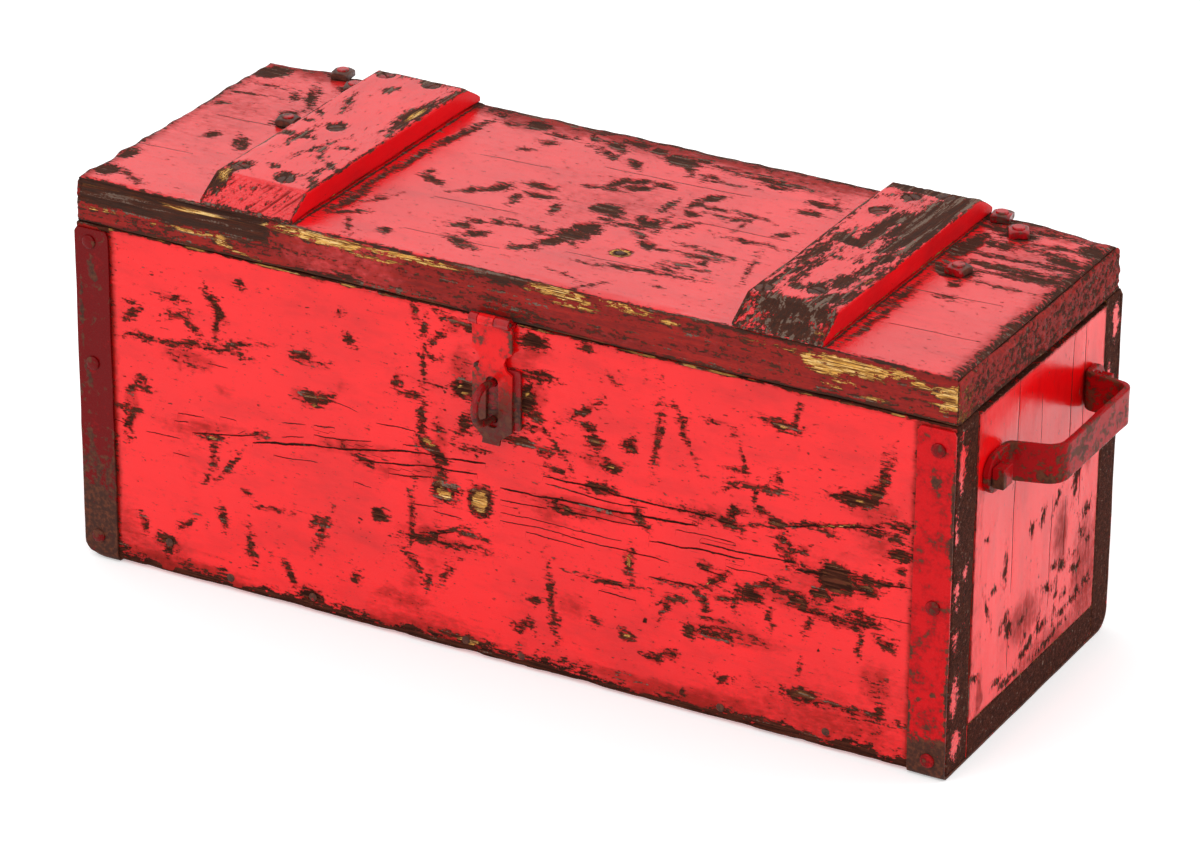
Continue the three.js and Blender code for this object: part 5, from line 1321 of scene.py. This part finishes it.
# Small nails: along the foot of the front and of the back, and one left in the lid
smallNails = {
    "head": (3.3, 0.9, 0.3, 1.3, 22),
    "front": ((-281, 25), (-228, 9), (-157, 11), (-28, 9), (18, 8), (179, 9), (262, 12)),
    "back": ((-290, 12), (-170, 10), (-40, 12), (90, 11), (215, 12)),
    "lid": ((56, 73),),
}
for key, way in (("front", (0, -1, 0)), ("back", (0, 1, 0)), ("lid", (0, 0, 1))):
    for i, (across, other) in enumerate(smallNails[key]):
        seats = {"front": (across, 0.5, other), "back": (across, depthAll - 0.5, other),
                 "lid": (across, other, chest["lidTop"] - 0.6)}
        nail = turnedSheet(headProfile(*smallNails["head"]), seats[key], way, 18)
        makePiece(f"SmallNail{key.title()}{i + 1}", *nail, "lid" if key == "lid" else "carcass",
                  "rusty_iron", finishes["nail"])


# Points turned about the upright axis, then moved
def turnedBy(points, turn, at):
    c, s = math.cos(turn), math.sin(turn)
    x, y, z = points[:, 0], points[:, 1], points[:, 2]
    return np.stack([x * c - y * s, x * s + y * c, z], 1) + np.asarray(at)


# A countersunk screw. A square sheet is drawn in to a disc: each of its two places times the root of 1
# less half the other one squared. Then the slot is pressed down across it and the rest domed a little.
def battenScrew(side, i):
    facts, head = battens[side], screws["head"]
    across, along = screws[side][i]
    lines = (gridLines(-head, head, 0.8, 0.4, (-0.85, -0.75, 0.75, 0.85)), gridLines(-head, head, 0.8, 0.4),
             np.array([-4.0, -0.4, 0.0]))
    sharp, faces = boxSheet(*lines)
    square, level = sharp[:, :2] / head, sharp[:, 2]
    disc = square * np.sqrt(np.maximum(1 - square[:, ::-1] ** 2 / 2, 0)) * head
    z = level - 1.3 * (np.abs(disc[:, 0]) < 0.8) * (level > -0.5)
    z = z + 0.35 * (1 - np.sum((disc / head) ** 2, 1)) * (level > -0.2)
    taper = np.where(level < -1, 0.45, 1)
    at = (facts["middle"] + across * facts["width"] / 2, along * depthAll,
          chest["lidTop"] + battens["height"] - 1.0)
    body = np.stack([disc[:, 0] * taper, disc[:, 1] * taper, z], 1)
    body = turnedBy(body, math.radians(screws["turns"][i]), at)
    makePiece(f"BattenScrew{side.title()}{i + 1}", body, faces, "lid", "rusty_iron", finishes["nail"],
              [f"batten_screw_{side}_{i + 1}"])


for side in ("left", "right"):
    for i in range(len(screws[side])):
        battenScrew(side, i)

# Square nuts on the lid, each with the tip of its bolt
nuts = {"side": 14.5, "height": 6, "turns": {"left": (0.1, 0.35, 0.05), "right": (0.15, 0.5, -0.2)}}


# A square nut: beyond a cone round its top, each point is lowered by 0.55 of how far it lies outside
def squareNut(name, at, turn, replaced):
    size = nuts["side"] / 2
    flank = gridLines(-size, size, 2, 1.1)
    sharp, faces = boxSheet(flank, flank, gridLines(0, nuts["height"], 2, 0.8))
    points, out = roundOff(sharp, (-size, -size, 0), (size, size, nuts["height"]), 0.9)
    radius = np.hypot(points[:, 0], points[:, 1])
    points[:, 2] = np.minimum(points[:, 2], nuts["height"] - 0.55 * np.clip(radius - size * 0.98, 0, 9))
    points = points + 0.18 * roughNoise(points + np.asarray(at), (5, 5, 5), 141)[:, None] * out
    top = nuts["height"] + 0.5
    tip = turnedSheet([(0, 1), (3.9, 1), (3.9, top - 0.5), (3.4, top), (0, top)], (0, 0, 0), (0, 0, 1), 20)
    points, groups = joined([(points, faces), tip])
    dark = np.full(len(points), 1.0 if at[0] < 0 else 0.2)
    makePiece(name, turnedBy(points, turn, at), groups, "lid", "painted_iron", finishes["nut"], replaced,
              {"grime": dark, "bare": 0.25 * dark})


for side, centre in zip(("left", "right"), hinges["centres"]):
    for i, (across, back) in enumerate(hinges["bolts"]):
        at, turn = (centre + across, back, chest["lidTop"] - 0.6), nuts["turns"][side][i]
        squareNut(f"HingeNut{side.title()}{i + 1}", at, turn, [f"hinge_nut_{side}_{i + 1}"])
print("nails, screws and nuts")

# The CAD nodes that stay: each gets a finish, and fine bevels on its edges
feet = ("left_front", "left_back", "right_front", "right_back")
kept = {
    "handle": [f"handle_bolt_{foot}" for foot in feet],
    "hidden": [f"handle_nut_{foot}" for foot in feet] + [
        "hinge_body_leaf_left", "hinge_body_leaf_right", "hinge_lid_leaf_left", "hinge_lid_leaf_right",
        "hinge_pin_left", "hinge_pin_right", "hasp_pin"],
    "nut": [f"hinge_bolt_{side}_{i}" for side in ("left", "right") for i in (1, 2, 3)],
    "hasp": ["hasp_leaf"], "staple": ["staple_plate", "staple_loop"], "haspPlate": ["hasp_plate"],
}
bevels = {"weld": 0.00002, "width": 0.0004, "segments": 2, "over": 35}
for key, names in kept.items():
    for name in names:
        node = nodes[name]
        node.data.materials.clear()
        node.data.materials.append(finishes[key])
        weld = node.modifiers.new("weld", "WELD")
        weld.merge_threshold = bevels["weld"]
        bevel = node.modifiers.new("bevel", "BEVEL")
        bevel.width, bevel.segments = bevels["width"], bevels["segments"]
        bevel.angle_limit = math.radians(bevels["over"])
print("iron that stays as the CAD has it")


# The pale floor, the light all round and two soft lamps: place, aim, power, size
studio = {
    "floor": 0.86, "lift": 0.32, "world": 1.0, "half": 14,
    "lamps": {
        "Key": ((-0.9, -2.4, 2.6), (0, 0, 0.1), 30.0, 2.6),
        "Rim": ((2.4, 1.6, 1.9), (0, 0, 0.2), 16.0, 1.6),
    },
}


# The floor's look: seen directly or in a gloss it is lifted towards white, and the contact shadow stays
def floorFinish():
    finish = Finish("PaleFloor")
    surface = finish.add("ShaderNodeBsdfDiffuse", {}, {"Color": (studio["floor"],) * 3})
    rays = ("Is Camera Ray", "Is Glossy Ray", "Is Transmission Ray")
    seen = [finish.add("ShaderNodeLightPath", {}, {}, ray) for ray in rays]
    lift = seen[0].most(seen[1]).most(seen[2]).blend((0, 0, 0), (studio["lift"],) * 3)
    glow = finish.add("ShaderNodeEmission", {}, {"Color": lift, "Strength": 1.0})
    return finish.done(finish.add("ShaderNodeAddShader", {}, {0: surface, 1: glow}))


def floorAndLight():
    mesh = bpy.data.meshes.new("Floor")
    size = studio["half"]
    corners = [(-size, -size, 0), (size, -size, 0), (size, size, 0), (-size, size, 0)]
    mesh.from_pydata(corners, [], [(0, 1, 2, 3)])
    mesh.materials.append(floorFinish())
    floor = bpy.data.objects.new("Floor", mesh)
    bpy.context.scene.collection.objects.link(floor)
    world = bpy.data.worlds.new("Studio")
    bpy.context.scene.world = world
    world.use_nodes = True
    background = world.node_tree.nodes["Background"].inputs
    background["Color"].default_value = (1, 1, 1, 1)
    background["Strength"].default_value = studio["world"]
    for name, (place, aim, power, width) in studio["lamps"].items():
        data = bpy.data.lights.new(name, "AREA")
        data.energy, data.size = power, width
        lamp = bpy.data.objects.new(name, data)
        lamp.location = place
        lamp.rotation_euler = (Vector(aim) - Vector(place)).to_track_quat("-Z", "Y").to_euler()
        bpy.context.scene.collection.objects.link(lamp)


view = {
    "azimuth": 28.68, "elevation": 25.34, "roll": 0.46, "lens": 164.486, "film": 36,
    "place": (1.736507, -3.152146, 1.843669),
}


# The camera as fitted to the photo. It looks against `back`, which leans from the front by its azimuth
# and up by its elevation; its right and up are then turned by the roll.
def photoCamera():
    a, e, r = (math.radians(view[key]) for key in ("azimuth", "elevation", "roll"))
    back = Vector((math.sin(a) * math.cos(e), -math.cos(a) * math.cos(e), math.sin(e)))
    right = (-back).cross(Vector((0, 0, 1))).normalized()
    up = right.cross(-back)
    right, up = math.cos(r) * right + math.sin(r) * up, math.cos(r) * up - math.sin(r) * right
    data = bpy.data.cameras.new("Camera")
    data.lens, data.sensor_width = view["lens"], view["film"]
    camera = bpy.data.objects.new("Camera", data)
    turned = Matrix((right, up, back)).transposed().to_4x4()
    camera.matrix_world = Matrix.Translation(view["place"]) @ turned
    bpy.context.scene.collection.objects.link(camera)
    bpy.context.scene.camera = camera


floorAndLight()
photoCamera()
bpy.context.scene.view_settings.view_transform = "Standard"
print("floor, light and camera")
